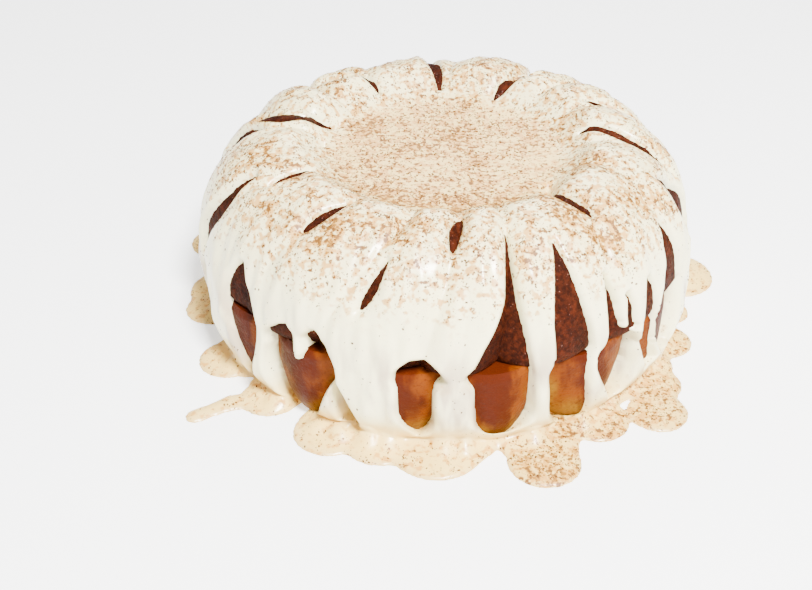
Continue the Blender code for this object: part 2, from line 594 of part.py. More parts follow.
def keep_largest_body(mesh):
    """Drop the loose scraps that the cuts leave."""
    shape = bmesh.new()
    shape.from_mesh(mesh)
    unseen = set(shape.verts)
    bodies = []
    while unseen:
        body, edge = [], [unseen.pop()]
        while edge:
            corner = edge.pop()
            body.append(corner)
            for link in corner.link_edges:
                other = link.other_vert(corner)
                if other in unseen:
                    unseen.remove(other)
                    edge.append(other)
        bodies.append(body)
    bodies.sort(key=len)
    bmesh.ops.delete(shape, geom=[corner for body in bodies[:-1] for corner in body], context="VERTS")
    shape.to_mesh(mesh)
    shape.free()


def floor_slab(collection):
    size = (FLOOR_CUT_WIDTH, FLOOR_CUT_WIDTH, 2 * FLOOR_CUT_DEPTH)
    bpy.ops.mesh.primitive_cube_add(size=1.0, location=(0, 0, -FLOOR_CUT_DEPTH), scale=size)
    slab = bpy.context.object
    slab.name = "floor_room"
    for home in list(slab.users_collection):
        home.objects.unlink(slab)
    collection.objects.link(slab)
    slab.hide_render = True
    slab.display_type = "WIRE"
    return slab


def glaze(cakes, collection, cutters):
    """One body of glaze: everything inside its outer surface that is neither cake nor floor."""
    skin = Skin(SKIN_STEP)
    radius = np.concatenate([skin.radius, [GLAZE_REACH, 0.0]])
    height = np.concatenate([skin.height, [-FLOOR_CUT_DEPTH, -FLOOR_CUT_DEPTH]])
    mesh = turned_mesh("glaze", radius, height, SKIN_TURNS, collection)
    spun, rows = rows_of(read_points(mesh), radius, height)
    on_skin = rows < len(skin.run)
    points = read_points(mesh)
    points[on_skin] = glaze_points(skin, spun[on_skin], rows[on_skin])
    write_points(mesh, points)
    piece = add_object("glaze", mesh, collection)
    thin = piece.modifiers.new("Fewer faces", "DECIMATE")
    thin.ratio = SKIN_FACES / (2.0 * len(mesh.vertices))
    for cutter in [grown_copy(cake, cutters) for cake in cakes] + [floor_slab(cutters)]:
        cut = piece.modifiers.new("Cut " + cutter.name, "BOOLEAN")
        cut.operation = "DIFFERENCE"
        cut.solver = "MANIFOLD"
        cut.object = cutter
    whole = settled_mesh(piece)
    piece.modifiers.clear()
    keep_largest_body(whole)
    piece.data = whole
    bpy.data.meshes.remove(mesh)
    return piece


def build():
    for old in list(bpy.data.objects):
        bpy.data.objects.remove(old)
    parts = bpy.data.collections.new("rum_cake")
    cutters = bpy.data.collections.new("rum_cake_cutters")
    bpy.context.scene.collection.children.link(parts)
    bpy.context.scene.collection.children.link(cutters)
    upper_foot, lower_top = SEAM + TOUCH_GAP / 2, SEAM - TOUCH_GAP / 2
    rim = CAKE_RADIUS - EDGE_ROUND
    upper_rings = skin_rings(UPPER_STAGES) + [(rim, upper_foot, 3.0), (0.0, upper_foot, 3.0)]
    lower_rings = [(0.0, lower_top, 3.01), (rim, lower_top, 3.01)]
    lower_rings += skin_rings(LOWER_STAGES) + [(0.0, 0.0, 4.0)]
    upper = fluted_cake("upper_cake", upper_rings, UPPER_FLUTES, parts)
    lower = fluted_cake("lower_cake", lower_rings, LOWER_FLUTES, parts)
    coat = glaze((upper, lower), parts, cutters)
    for piece, name, (colour, roughness) in (
            (upper, "dark crumb", DARK_CRUMB), (lower, "golden crust", GOLDEN_CRUST),
            (coat, "cream glaze", CREAM_GLAZE)):
        piece.data.materials.clear()
        piece.data.materials.append(finish(name, colour, roughness))


build()
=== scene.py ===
"""The looks of the rum cake: its two ring cakes, its poured glaze, its nutmeg and the stage.

Metres, +Z up. The origin is on the floor under the middle of the cake.
A bearing is in degrees, seen from above: 0 at the front (-Y), growing towards the right (+X).
A stage tells where a point is on the outline, from the top of the axis down to the floor:
0 to 1 is the floor of the hollow, 1 to 2 its slope, 2 to 3 the shoulder down to the seam,
3 to 4 the lower cake's side, 4 to 5 the floor round the cake.
"""
import contextlib
import math

import bmesh
import bpy
import numpy as np
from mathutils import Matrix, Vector, noise


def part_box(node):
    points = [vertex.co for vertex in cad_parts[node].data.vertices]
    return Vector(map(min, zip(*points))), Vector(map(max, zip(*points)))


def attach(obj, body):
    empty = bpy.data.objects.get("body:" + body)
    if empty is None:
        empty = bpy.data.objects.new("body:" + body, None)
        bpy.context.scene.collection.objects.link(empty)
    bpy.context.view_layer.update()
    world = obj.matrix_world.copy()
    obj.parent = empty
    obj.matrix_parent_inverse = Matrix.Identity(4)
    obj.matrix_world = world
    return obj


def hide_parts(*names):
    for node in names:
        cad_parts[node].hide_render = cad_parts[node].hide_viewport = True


bl_info = {
    "name": "Rum Cake",
    "version": (1, 0, 0),
    "blender": (4, 5, 0),
    "location": "3D View > Sidebar > Rum Cake",
    "description": "Builds a glazed rum cake of two fluted ring cakes, dusted with nutmeg",
    "category": "Add Mesh",
}

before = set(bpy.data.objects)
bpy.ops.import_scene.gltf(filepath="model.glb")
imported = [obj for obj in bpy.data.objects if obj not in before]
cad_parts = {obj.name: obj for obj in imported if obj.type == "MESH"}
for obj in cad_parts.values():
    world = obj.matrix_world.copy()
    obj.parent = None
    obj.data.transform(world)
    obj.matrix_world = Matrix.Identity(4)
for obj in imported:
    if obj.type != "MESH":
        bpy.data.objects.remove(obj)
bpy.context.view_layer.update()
SEAM = (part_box("upper_cake")[0][2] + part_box("lower_cake")[1][2]) / 2

# Outline of the bare cakes, a little inside the glaze
CAKE_RADIUS = 0.1220
CREST_RADIUS = 0.0760
CREST_HEIGHT = 0.0985
SHOULDER_POWER = 2.12
HOLLOW_RADIUS = 0.0520
HOLLOW_FLOOR = 0.0810
BASE_RADIUS = 0.1080
BASE_POWER = 3.0
EDGE_ROUND = 0.0016
SEAM_GAP = 0.0003
CRUMB_LUMP = 0.0026
CRUST_LUMP = 0.0040
CAKE_EDGE_ANGLE = 60.0
# Stages at which the upper cake has rings: first, last, number of rings
UPPER_RINGS = ((0.0, 1.0, 8), (1.0, 2.0, 14), (2.0, 2.97, 56))
# The lower cake's rings run from this stage to its foot
LOWER_TOP_STAGE = 3.06
LOWER_SIDE_RINGS = 44
LOWER_BASE_RINGS = 12
FLAT_FACE_RINGS = 14
# Points that are looked up at once
BATCH = 4096
MERGE_DISTANCE = 0.00001

# Flutes: sixteen lobes between sharp creases. Each crease's bearing at the seam, its bearing at the
# crest, and how deep it is, as a share of the full depth
LOBES = 16
UPPER_CREASES = (
    (-169, -149, 0.8), (-147, -128, 1.0), (-123, -110, 0.8), (-99, -97, 1.0), (-77, -62, 0.5),
    (-54, -34, 0.3), (-32, -13, 0.8), (-7, 3, 0.9), (10.5, 17, 1.0), (34.5, 45, 0.5), (57, 68, 0.25),
    (79, 88, 0.6), (101, 115, 0.9), (124, 134, 0.8), (146, 151.5, 1.0), (168.5, 177.5, 0.9),
)
CREASE_TURN = 0.9
LOWER_CREASES = tuple((bearing, bearing, 1) for bearing in (
    -178, -155, -133.5, -110.5, -88.5, -66.5, -45.5, -23.8, -1, 20.5, 45.5, 67, 88, 111, 134, 156.5))
UPPER_CREASE_DEPTH = ((1.0, 0.0), (1.5, 0.0015), (2.0, 0.0040), (2.5, 0.0075), (3.0, 0.0090))
LOWER_CREASE_DEPTH = ((3.0, 0.0070), (3.3, 0.0085), (3.6, 0.0120), (3.8, 0.0155), (4.0, 0.0180))
LOWER_CREASE_LIFT = 0.3
LOBE_ROUNDNESS = 1.8

# Glaze
GLAZE_REACH = 0.175
SHOULDER_GLAZE = 0.0030
# The glaze's outer surface over the hollow and its slope: stage, radius, height
GLAZE_TOP = (
    (0.0, 0.0000, 0.0885), (0.5, 0.0280, 0.0885), (0.85, 0.0476, 0.0886), (1.0, 0.0545, 0.0891),
    (1.2, 0.0602, 0.0909), (1.5, 0.0662, 0.0953), (1.8, 0.0718, 0.0998), (2.0, 0.0760, 0.1015),
)
# The glaze's outer surface from the seam to the puddles: stage, radius, height
GLAZE_SIDE = (
    (3.0, 0.1250, 0.0430), (3.2, 0.1256, 0.0325), (3.4, 0.1252, 0.0225), (3.6, 0.1234, 0.0140),
    (3.8, 0.1208, 0.0082), (4.0, 0.1196, 0.0046), (4.15, 0.1225, 0.0034), (4.4, 0.1330, 0.0030),
    (5.0, 0.1750, 0.0030),
)
GLAZE_RIPPLE = ((1.0, 0.0), (1.4, 0.0018), (2.0, 0.0050), (2.5, 0.0042), (3.0, 0.0018), (3.2, 0.0))
PUDDLE_RISE = 0.0150
PUDDLE_RISE_POWER = 0.42
FAINT_FOLD = 0.35
FLOW_RELIEF = 0.0018
FLOW_WIDTH = 4.0
FLOW_LENGTH = 0.030
BURIED_AT_EDGE = 0.0006
BURIED_INSIDE = 0.0030
FOOT_BLEND = 0.0040
FLOOR_JOIN = 4.12
PUDDLE_SOFTNESS = 0.0015
FAR_AWAY = 0.0150
FLOOR_CUT_DEPTH = 0.0080
FLOOR_CUT_WIDTH = 0.60
FLOOR_CUT_PARTS = 40
SLIT_END_WIDTH = 0.0004
CORE_INSET = 0.0009
CORE_FACES_KEPT = 0.40
SLIT_LIP_SHARE = 0.6
SEAM_REACH = 0.06
SEAM_OVERLAP = 0.0010
GLAZE_EDGE_ANGLE = 70.0

# Nutmeg
CLUMP_SIZE = 0.007
GRAIN_SIZE = 1.7
GRAIN_BREADTH = 0.62

# Camera, as it fits the photo
PHOTO_WIDTH = 812.0
PHOTO_FOCAL_LENGTH = 1310.0
SENSOR_WIDTH = 36.0
CAMERA_DISTANCE = 0.70
CAMERA_TILT = 35.1
CAMERA_AIM = (-0.020, 0.0024)

# Lights: name, place, size, power
LIGHTS = (
    ("key", (0.30, -0.80, 1.28), 0.36, 138.0), ("fill", (1.1, -0.9, 0.9), 1.0, 10.0),
    ("back", (0.1, 1.3, 1.2), 1.0, 16.0),
)
LIGHT_AIM = (0.0, 0.0, 0.05)
SKY_COLOUR = (1.0, 0.99, 0.97, 1.0)
SKY_STRENGTH = 0.52
FLOOR_SIZE = 6.0
FLOOR_COLOUR = (0.88, 0.88, 0.88)
FLOOR_GLOW = (1.0, 1.0, 1.0)

# Where the cake shows between the runs of glaze: height, left bearing, right bearing
WINDOWS = {
    "left flank slit": ((0.0965, -72.2, -70.8), (0.0925, -73.6, -71.0), (0.085, -75.0, -71.2),
                        (0.078, -76.6, -71.8), (0.068, -79.2, -73.0), (0.058, -81.6, -74.6),
                        (0.048, -83.0, -76.6), (0.042, -83.0, -79.6)),
    "left flank": ((0.042, -80.0, -73.5), (0.035, -83.0, -70.5), (0.025, -84.0, -69.5),
                   (0.012, -82.0, -71.5), (0.004, -79.5, -74.5)),
    "left shoulder": ((0.0705, -55.0, -54.0), (0.062, -57.6, -51.4), (0.052, -58.8, -49.0),
                      (0.045, -59.0, -48.0), (0.037, -57.8, -48.2), (0.029, -56.0, -48.4),
                      (0.020, -54.2, -49.2), (0.013, -53.2, -50.6), (0.009, -52.6, -52.0)),
    "forked": ((0.0560, -33.0, -30.8), (0.0530, -39.0, -29.6), (0.049, -41.6, -27.6),
               (0.044, -43.4, -26.2), (0.037, -43.4, -25.6), (0.031, -43.8, -26.1),
               (0.024, -43.8, -28.2), (0.014, -42.6, -30.4), (0.006, -40.0, -32.4),
               (0.002, -38.0, -33.4)),
    "sliver": ((0.031, -26.4, -25.2), (0.026, -26.2, -24.0), (0.019, -25.6, -22.6),
               (0.012, -24.6, -21.4), (0.007, -23.6, -21.4)),
    "arched": ((0.0512, -8.6, -5.8), (0.049, -9.9, -3.9), (0.045, -11.5, -2.6), (0.0405, -11.7, -1.7),
               (0.037, -11.3, -3.5), (0.030, -11.2, -3.9), (0.023, -11.0, -3.9), (0.017, -9.8, -4.0),
               (0.012, -8.0, -5.2), (0.0095, -7.0, -6.5)),
    "long left": ((0.100, 15.5, 16.1), (0.094, 13.7, 15.2), (0.086, 12.6, 14.9), (0.078, 11.8, 14.9),
                  (0.068, 9.6, 15.5), (0.0565, 6.6, 16.3), (0.048, 4.7, 16.8), (0.042, 3.0, 17.3),
                  (0.036, 4.8, 17.4), (0.026, 5.2, 17.5), (0.018, 5.7, 17.4), (0.013, 7.4, 15.6),
                  (0.0105, 9.5, 12.5)),
    "long right": ((0.095, 26.4, 27.0), (0.087, 24.6, 27.8), (0.079, 23.3, 28.5), (0.068, 22.3, 29.4),
                   (0.054, 22.2, 31.0), (0.046, 22.3, 31.3), (0.041, 21.6, 30.7), (0.036, 21.6, 30.6),
                   (0.028, 22.2, 30.9), (0.018, 22.8, 31.8), (0.010, 24.2, 32.0), (0.003, 27.5, 30.5)),
    "right pair": ((0.0795, 36.8, 37.5), (0.065, 36.3, 38.8), (0.0545, 36.1, 39.4),
                   (0.0515, 36.0, 41.4), (0.046, 35.2, 42.6), (0.041, 33.4, 44.4), (0.036, 33.0, 45.4),
                   (0.030, 34.0, 45.4), (0.022, 36.2, 45.0), (0.014, 38.2, 43.4), (0.010, 39.2, 41.0)),
    "thin right": ((0.0665, 41.5, 42.6), (0.060, 41.4, 43.5), (0.052, 41.3, 43.9), (0.047, 41.0, 43.9)),
    "crooked": ((0.0675, 49.0, 50.4), (0.060, 48.2, 51.9), (0.053, 47.8, 52.3), (0.047, 47.4, 52.4),
                (0.042, 47.0, 52.2), (0.034, 46.9, 52.2), (0.026, 48.2, 52.8), (0.018, 50.2, 54.0)),
    "banana": ((0.0815, 61.6, 63.6), (0.072, 59.2, 65.0), (0.064, 58.2, 65.8), (0.0555, 56.0, 66.0),
               (0.048, 54.2, 66.0), (0.042, 52.8, 66.0), (0.038, 52.8, 66.0), (0.032, 53.0, 66.0),
               (0.024, 54.8, 65.0), (0.017, 57.4, 62.5)),
    "right flank": ((0.091, 73.8, 76.6), (0.083, 73.8, 81.8), (0.074, 74.6, 86.4), (0.065, 76.4, 89.4),
                    (0.056, 78.6, 91.0), (0.048, 82.0, 90.6)),
}

# The far side repeats windows of the near side: name, middle bearing, mirrored
FAR_WINDOWS = (
    ("arched", 106, False), ("long right", 121, True), ("banana", 136, False), ("long left", 152, True),
    ("arched", 170, True), ("long right", -176, True), ("right pair", -161, True),
    ("long left", -146, False), ("crooked", -133, False), ("left shoulder", -119, False),
    ("arched", -103, True),
)

# Slits over the crest: radius, bearing, width
SLITS = (
    ((0.080, -35.7, 0.0008), (0.087, -37.5, 0.0038), (0.094, -39.2, 0.0048), (0.1005, -40.8, 0.0034),
     (0.103, -41.4, 0.0008)),
    ((0.1035, -15.9, 0.0008), (0.1085, -17.0, 0.0030), (0.114, -18.2, 0.0048), (0.1175, -19.4, 0.0044),
     (0.1195, -20.3, 0.0010)),
    ((0.074, 3.6, 0.0010), (0.080, 2.2, 0.0048), (0.087, 1.0, 0.0056), (0.0935, 0.4, 0.0038),
     (0.097, 0.0, 0.0010)),
    ((0.0595, 54.0, 0.0030), (0.065, 48.0, 0.0052), (0.072, 42.0, 0.0060), (0.0785, 41.8, 0.0062),
     (0.085, 42.6, 0.0056), (0.0915, 43.4, 0.0040), (0.0960, 43.6, 0.0008)),
    ((0.068, 98.6, 0.0012), (0.073, 96.8, 0.0046), (0.080, 94.4, 0.0060), (0.088, 92.0, 0.0062),
     (0.096, 90.4, 0.0058), (0.106, 89.6, 0.0050), (0.117, 89.0, 0.0012)),
    ((0.064, 155.2, 0.0010), (0.069, 153.2, 0.0056), (0.075, 150.4, 0.0074), (0.082, 147.4, 0.0078),
     (0.090, 144.8, 0.0076), (0.099, 142.0, 0.0060), (0.106, 139.5, 0.0012)),
    ((0.066, -178.4, 0.0016), (0.073, -177.8, 0.0052), (0.085, -177.0, 0.0068), (0.096, -176.6, 0.0064),
     (0.108, -176.2, 0.0030)),
    ((0.068, -149.6, 0.0010), (0.074, -148.6, 0.0044), (0.084, -147.4, 0.0050), (0.094, -146.4, 0.0038),
     (0.100, -146.0, 0.0010)),
    ((0.079, -140.5, 0.0010), (0.084, -138.0, 0.0040), (0.092, -135.0, 0.0028)),
    ((0.0625, -116.0, 0.0020), (0.070, -107.8, 0.0090), (0.080, -104.6, 0.0114), (0.090, -104.8, 0.0116),
     (0.100, -107.0, 0.0096), (0.107, -109.5, 0.0010)),
    ((0.094, -98.6, 0.0010), (0.101, -100.0, 0.0070), (0.110, -102.5, 0.0080), (0.118, -106.0, 0.0012)),
    ((0.063, -96.0, 0.0010), (0.067, -89.5, 0.0048), (0.071, -84.0, 0.0010)),
    ((0.072, -64.6, 0.0008), (0.082, -64.0, 0.0038), (0.090, -64.2, 0.0042), (0.096, -64.8, 0.0008)),
    ((0.080, 118.6, 0.0010), (0.092, 115.0, 0.0050), (0.104, 112.0, 0.0012)),
)

# Drips that hang into the windows: bearing, height and half width, from the root to the tip
DRIPS = (
    ((-34.9, 0.0600, 0.0090), (-34.8, 0.0545, 0.0046), (-34.7, 0.0500, 0.0031), (-34.4, 0.0425, 0.0042)),
    ((40.8, 0.0640, 0.0026), (40.8, 0.0560, 0.0021), (40.8, 0.0515, 0.0024)),
    ((42.6, 0.0330, 0.0012), (42.2, 0.0270, 0.0020), (42.0, 0.0235, 0.0016)),
    ((170.5, 0.0640, 0.0030), (170.5, 0.0460, 0.0034)),
    ((-119.5, 0.0760, 0.0030), (-119.5, 0.0560, 0.0034)),
)

# Rounded swellings of the glaze: bearing, stage, radius, swell
BEADS = (
    (3.6, 4.14, 0.0062, 0.0050), (-1.2, 4.12, 0.0080, 0.0030), (-24.0, 4.13, 0.0085, 0.0042),
    (-18.2, 4.10, 0.0090, 0.0042), (-13.5, 4.05, 0.0085, 0.0030), (18.6, 4.10, 0.0080, 0.0040),
    (31.0, 4.08, 0.0075, 0.0036), (43.5, 4.08, 0.0080, 0.0036), (-42.0, 4.10, 0.0085, 0.0036),
    (-60.0, 4.08, 0.0080, 0.0030), (0.1, 3.12, 0.0070, 0.0009), (-30.5, 4.2, 0.0070, 0.0026),
    (62.0, 4.10, 0.0080, 0.0030), (-82.0, 4.08, 0.0080, 0.0030), (115.0, 4.08, 0.0080, 0.0030),
    (128.0, 4.1, 0.0080, 0.0030), (160.0, 4.1, 0.0080, 0.0034), (-169.0, 4.1, 0.0080, 0.0034),
    (-153.0, 4.1, 0.0080, 0.0034), (-126.0, 4.1, 0.0080, 0.0030), (-111.0, 4.1, 0.0080, 0.0030),
)

# Puddles on the floor: x, y, radius
PUDDLES = (
    (-0.056, -0.108, 0.0170), (-0.032, -0.114, 0.0175), (-0.006, -0.119, 0.0222), (0.010, -0.115, 0.0125),
    (0.043, -0.129, 0.0170), (0.043, -0.114, 0.0175), (0.033, -0.117, 0.0100), (0.070, -0.100, 0.0155),
    (0.100, -0.094, 0.0145), (0.102, -0.073, 0.0130), (0.101, -0.058, 0.0120), (0.112, -0.038, 0.0140),
    (0.118, -0.012, 0.0110), (0.127, 0.022, 0.0210), (0.108, 0.062, 0.0150), (0.092, 0.086, 0.0180),
    (0.056, 0.106, 0.0160), (0.028, 0.120, 0.0190), (-0.008, 0.118, 0.0160), (-0.040, 0.112, 0.0170),
    (-0.066, 0.104, 0.0200), (-0.098, 0.080, 0.0150), (-0.126, 0.055, 0.0160), (-0.118, 0.030, 0.0140),
    (-0.120, 0.008, 0.0165), (-0.122, -0.009, 0.0145), (-0.109, -0.053, 0.0150), (-0.086, -0.083, 0.0140),
)
RUNNEL = ((-0.088, -0.084), (-0.104, -0.087), (-0.120, -0.097))
RUNNEL_HALF_WIDTH = 0.0048


def length_property(name, description, default):
    return bpy.props.FloatProperty(name=name, description=description, default=default, unit="LENGTH")


def count_property(name, description, default):
    return bpy.props.IntProperty(name=name, description=description, default=default)


def density_property(name, description, default):
    return bpy.props.FloatProperty(name=name, description=description, default=default)


def colour_property(name, description, default):
    return bpy.props.FloatVectorProperty(
        name=name, description=description, subtype="COLOR", default=default)


class RumCakeSizes(bpy.types.PropertyGroup):
    """Sizes of the relief on the cakes and the glaze, and of the nutmeg."""

    lip_width: length_property("Lip width", "How far in the glaze rounds over at its edges", 0.0040)
    glaze_step: length_property("Glaze step", "Spacing of the glaze's rows of points", 0.0010)
    glaze_turns: count_property("Glaze turns", "Points in one turn of the glaze", 760)
    glaze_faces: count_property("Glaze faces", "Triangles kept in the glaze's outer surface", 132000)
    lobe_faces: count_property("Faces across a flute", "Faces across each flute of the cakes", 36)
    crumb_relief: length_property("Crumb relief", "Height of the crumb on the dark cake", 0.00045)
    crust_relief: length_property("Crust relief", "Height of the unevenness on the golden crust", 0.00022)
    speck_density: density_property("Speck density", "Fine specks of nutmeg on each square metre", 285000.0)
    flake_density: density_property("Flake density", "Flakes of nutmeg on each square metre", 170000.0)


class RumCakeColours(bpy.types.PropertyGroup):
    """Colours of the cakes, the glaze and the nutmeg, as linear values."""

    dark_crumb: colour_property("Dark crumb", "The upper cake", (0.028, 0.0052, 0.0015))
    moist_glint: colour_property("Moist glint", "The glints on the upper cake", (0.30, 0.13, 0.095))
    golden: colour_property("Golden crust", "The lower cake", (0.112, 0.0235, 0.0006))
    browned: colour_property("Browned crust", "The lower cake where it browned", (0.037, 0.0044, 0.0006))
    pale_base: colour_property("Pale base", "The lower cake's creases and foot", (0.180, 0.082, 0.0035))
    glaze: colour_property("Glaze", "The poured glaze", (0.90, 0.84, 0.50))
    # Painted shade for the glaze's lower sides, partly the cake showing through thin glaze; it also darkens
    # the puddles' rims
    thin: colour_property("Thin glaze", "The glaze where the cake shows through it", (0.34, 0.22, 0.17))
    pooled: colour_property("Pooled glaze", "The glaze where it pools", (0.80, 0.55, 0.165))
    halo: colour_property("Nutmeg halo", "The glaze round a nutmeg stain", (0.54, 0.245, 0.036))
    stain: colour_property("Nutmeg stain", "The glaze where nutmeg melts into it", (0.255, 0.102, 0.0008))
    nutmeg: colour_property("Nutmeg", "The flakes of nutmeg", (0.100, 0.031, 0.0018))


# Outline and flutes

def eased(low, high, values):
    """Smooth 0 to 1 step between two values."""
    t = np.clip((values - low) / (high - low), 0.0, 1.0)
    return t * t * (3.0 - 2.0 * t)


def looked_up(table, values):
    rows = np.array(table)
    return np.interp(values, rows[:, 0], rows[:, 1])


def curve_through(stations, between=4):
    """Catmull-Rom curve through rows of numbers."""
    rows = np.array(stations, dtype=float)
    rows = np.vstack([2 * rows[0] - rows[1], rows, 2 * rows[-1] - rows[-2]])
    curve = []
    for a, b, c, d in zip(rows, rows[1:], rows[2:], rows[3:]):
        for t in np.arange(between) / between:
            square = 2 * a - 5 * b + 4 * c - d
            cube = 3 * b - a - 3 * c + d
            curve.append(0.5 * (2 * b + (c - a) * t + square * t ** 2 + cube * t ** 3))
    curve.append(rows[-2])
    return np.array(curve)


def plain_outline(stages):
    """Radius and height of the unfluted cakes at each stage."""
    stages = np.asarray(stages, dtype=float)
    part = np.clip(stages[:, None] - np.arange(5), 0.0, 1.0)
    slope_rise = 0.5 - 0.5 * np.cos(math.pi * part[:, 1])
    shoulder = part[:, 2] * math.pi / 2
    side = part[:, 3] ** 1.5 * math.pi / 2
    shoulder_out = np.sin(shoulder) ** (2 / SHOULDER_POWER)
    shoulder_down = 1 - np.abs(np.cos(shoulder)) ** (2 / SHOULDER_POWER)
    side_in = 1 - np.abs(np.cos(side)) ** (2 / BASE_POWER)
    side_down = np.sin(side) ** (2 / BASE_POWER)
    radius = (HOLLOW_RADIUS * part[:, 0] + (CREST_RADIUS - HOLLOW_RADIUS) * part[:, 1]
              + (CAKE_RADIUS - CREST_RADIUS) * shoulder_out
              - (CAKE_RADIUS - BASE_RADIUS) * side_in + (GLAZE_REACH - BASE_RADIUS) * part[:, 4])
    height = (HOLLOW_FLOOR + (CREST_HEIGHT - HOLLOW_FLOOR) * slope_rise
              - (CREST_HEIGHT - SEAM) * shoulder_down - SEAM * side_down)
    return radius, height


class Flutes:
    """A ring of creases. A phase counts them: whole in a crease, half way between in a lobe's middle."""

    def __init__(self, creases, depths):
        foot, top, share = np.array(creases, dtype=float).T
        self.foot = np.concatenate([foot - 360, foot, foot + 360])
        self.turn = np.tile(top - foot, 3)
        self.share = np.tile(share, 3)
        self.depths = depths

    def creases_at(self, stage):
        """Every crease's bearing, one row for each stage."""
        turned = np.clip(3.0 - stage, 0.0, 1.0) ** CREASE_TURN
        return self.foot + turned[:, None] * self.turn

    def phase(self, bearing, stage):
        phase = np.empty(len(bearing))
        for start in range(0, len(bearing), BATCH):
            part = slice(start, start + BATCH)
            rows = self.creases_at(stage[part])
            before = (rows <= bearing[part, None]).sum(axis=1) - 1
            each = np.arange(len(before))
            low, high = rows[each, before], rows[each, before + 1]
            phase[part] = before + (bearing[part] - low) / (high - low)
        return phase

    def bearing(self, phase, stage):
        rows = self.creases_at(stage)
        before = np.floor(phase).astype(int)
        each = np.arange(len(before))
        low, high = rows[each, before], rows[each, before + 1]
        return low + (phase - before) * (high - low)

    def lobe(self, phase):
        """0 in the middle of a lobe, and the crease's share of the full depth in a crease."""
        share = np.interp(phase, np.arange(len(self.share)), self.share)
        return share * np.abs(2 * (phase % 1.0) - 1) ** LOBE_ROUNDNESS

    def depth(self, phase, stage):
        return self.lobe(phase) * looked_up(self.depths, stage)


UPPER_FLUTES = Flutes(UPPER_CREASES, UPPER_CREASE_DEPTH)
LOWER_FLUTES = Flutes(LOWER_CREASES, LOWER_CREASE_DEPTH)


def unevenness(bearing, height):
    """Slow swelling of a hand-filled tin, about a millimetre."""
    angle = np.radians(bearing)
    return (0.0005 * np.sin(3 * angle + 1.1) + 0.0004 * np.sin(7 * angle + 60 * height + 0.4)
            + 0.0003 * np.sin(13 * angle - 90 * height))


def crease_depths(bearing, stage):
    """Depth of the flutes below the plain outline, on either cake, and of the deeper ones at the seam."""
    upper, lower = [flutes.depth(flutes.phase(bearing, stage), stage)
                    for flutes in (UPPER_FLUTES, LOWER_FLUTES)]
    depth = np.where(stage <= 3.0, upper, lower)
    return np.where(np.abs(stage - 3.0) < SEAM_REACH, np.maximum(upper, lower), depth)


def plain_normal(stages):
    """Outward direction of the plain outline at each stage."""
    around = np.stack([stages - 0.01, stages + 0.01]).clip(0.0, 5.0)
    before, after = [np.stack(plain_outline(row), axis=1) for row in around]
    along = after - before
    normal = np.stack([-along[:, 1], along[:, 0]], axis=1)
    return normal / np.linalg.norm(normal, axis=1)[:, None]


def crease_ways(stage, normal):
    """Which way the flutes are pressed: square to the upper cake, inwards and up on the lower one."""
    return np.where(stage[:, None] <= 3.0, normal, np.array([1.0, -LOWER_CREASE_LIFT]))


def place(bearing, radius, height):
    angle = np.radians(bearing)
    return np.stack([radius * np.sin(angle), -radius * np.cos(angle), height], axis=1)


# Meshes

def add_object(name, mesh):
    piece = bpy.data.objects.new(name, mesh)
    bpy.context.scene.collection.objects.link(piece)
    return piece


def settled_mesh(piece):
    """The mesh that an object's modifiers make."""
    bpy.context.view_layer.update()
    return bpy.data.meshes.new_from_object(piece.evaluated_get(bpy.context.evaluated_depsgraph_get()))


def settle(piece):
    """Turn an object's modifiers into its own mesh."""
    before = piece.data
    mesh = settled_mesh(piece)
    piece.modifiers.clear()
    piece.data = mesh
    bpy.data.meshes.remove(before)
    mesh.name = piece.name


def turned_mesh(name, radius, height, steps):
    """Turn an outline, which runs from the top of the axis to its foot, round the axis."""
    outline = bpy.data.meshes.new(name)
    corners = [(r, 0.0, z) for r, z in zip(radius, height)]
    outline.from_pydata(corners, [(i, i + 1) for i in range(len(corners) - 1)], [])
    piece = add_object(name, outline)
    screw = piece.modifiers.new("Turn", "SCREW")
    screw.steps = steps
    screw.render_steps = steps
    screw.use_merge_vertices = True
    screw.merge_threshold = MERGE_DISTANCE
    mesh = settled_mesh(piece)
    bpy.data.objects.remove(piece)
    bpy.data.meshes.remove(outline)
    return mesh


def read_vectors(mesh, kind):
    """The points of a mesh, as co, or its normals, as normal."""
    vectors = np.empty(len(mesh.vertices) * 3, dtype=np.float32)
    mesh.vertices.foreach_get(kind, vectors)
    return vectors.reshape(-1, 3).astype(float)


def write_points(mesh, points):
    mesh.vertices.foreach_set("co", points.astype(np.float32).ravel())
    mesh.update()


def add_attribute(mesh, name, values):
    layer = mesh.attributes.new(name, "FLOAT", "POINT")
    layer.data.foreach_set("value", np.asarray(values, dtype=np.float32))


@contextlib.contextmanager
def edited(mesh):
    """A mesh's shape to work on, which is written back at the end."""
    shape = bmesh.new()
    shape.from_mesh(mesh)
    yield shape
    shape.to_mesh(mesh)
    shape.free()


def shade_smooth(mesh, crease_angle):
    """Smooth shading, with hard edges only where two faces meet sharper than an angle in degrees."""
    limit = math.radians(crease_angle)
    with edited(mesh) as shape:
        for face in shape.faces:
            face.smooth = True
        for edge in shape.edges:
            edge.smooth = len(edge.link_faces) == 2 and edge.calc_face_angle(0.0) < limit


def rows_of(points, radius, height):
    """The turned bearing of each point, and the row of the outline it was turned from."""
    spun = np.degrees(np.arctan2(points[:, 0], -points[:, 1]))
    off_axis = np.hypot(points[:, 0], points[:, 1])
    rows = np.empty(len(points), dtype=int)
    for start in range(0, len(points), BATCH):
        part = slice(start, start + BATCH)
        gap = (off_axis[part, None] - radius) ** 2 + (points[part, 2, None] - height) ** 2
        rows[part] = gap.argmin(axis=1)
    return spun, rows


def rough_noise(points, size, octaves=2):
    """Noise between about -1 and 1 at each point, with lumps of a given size."""
    values = np.zeros(len(points))
    for octave in range(octaves):
        scale = 2 ** octave / size
        values += np.array([noise.noise(Vector(point) * scale) for point in points]) / 2 ** octave
    return values


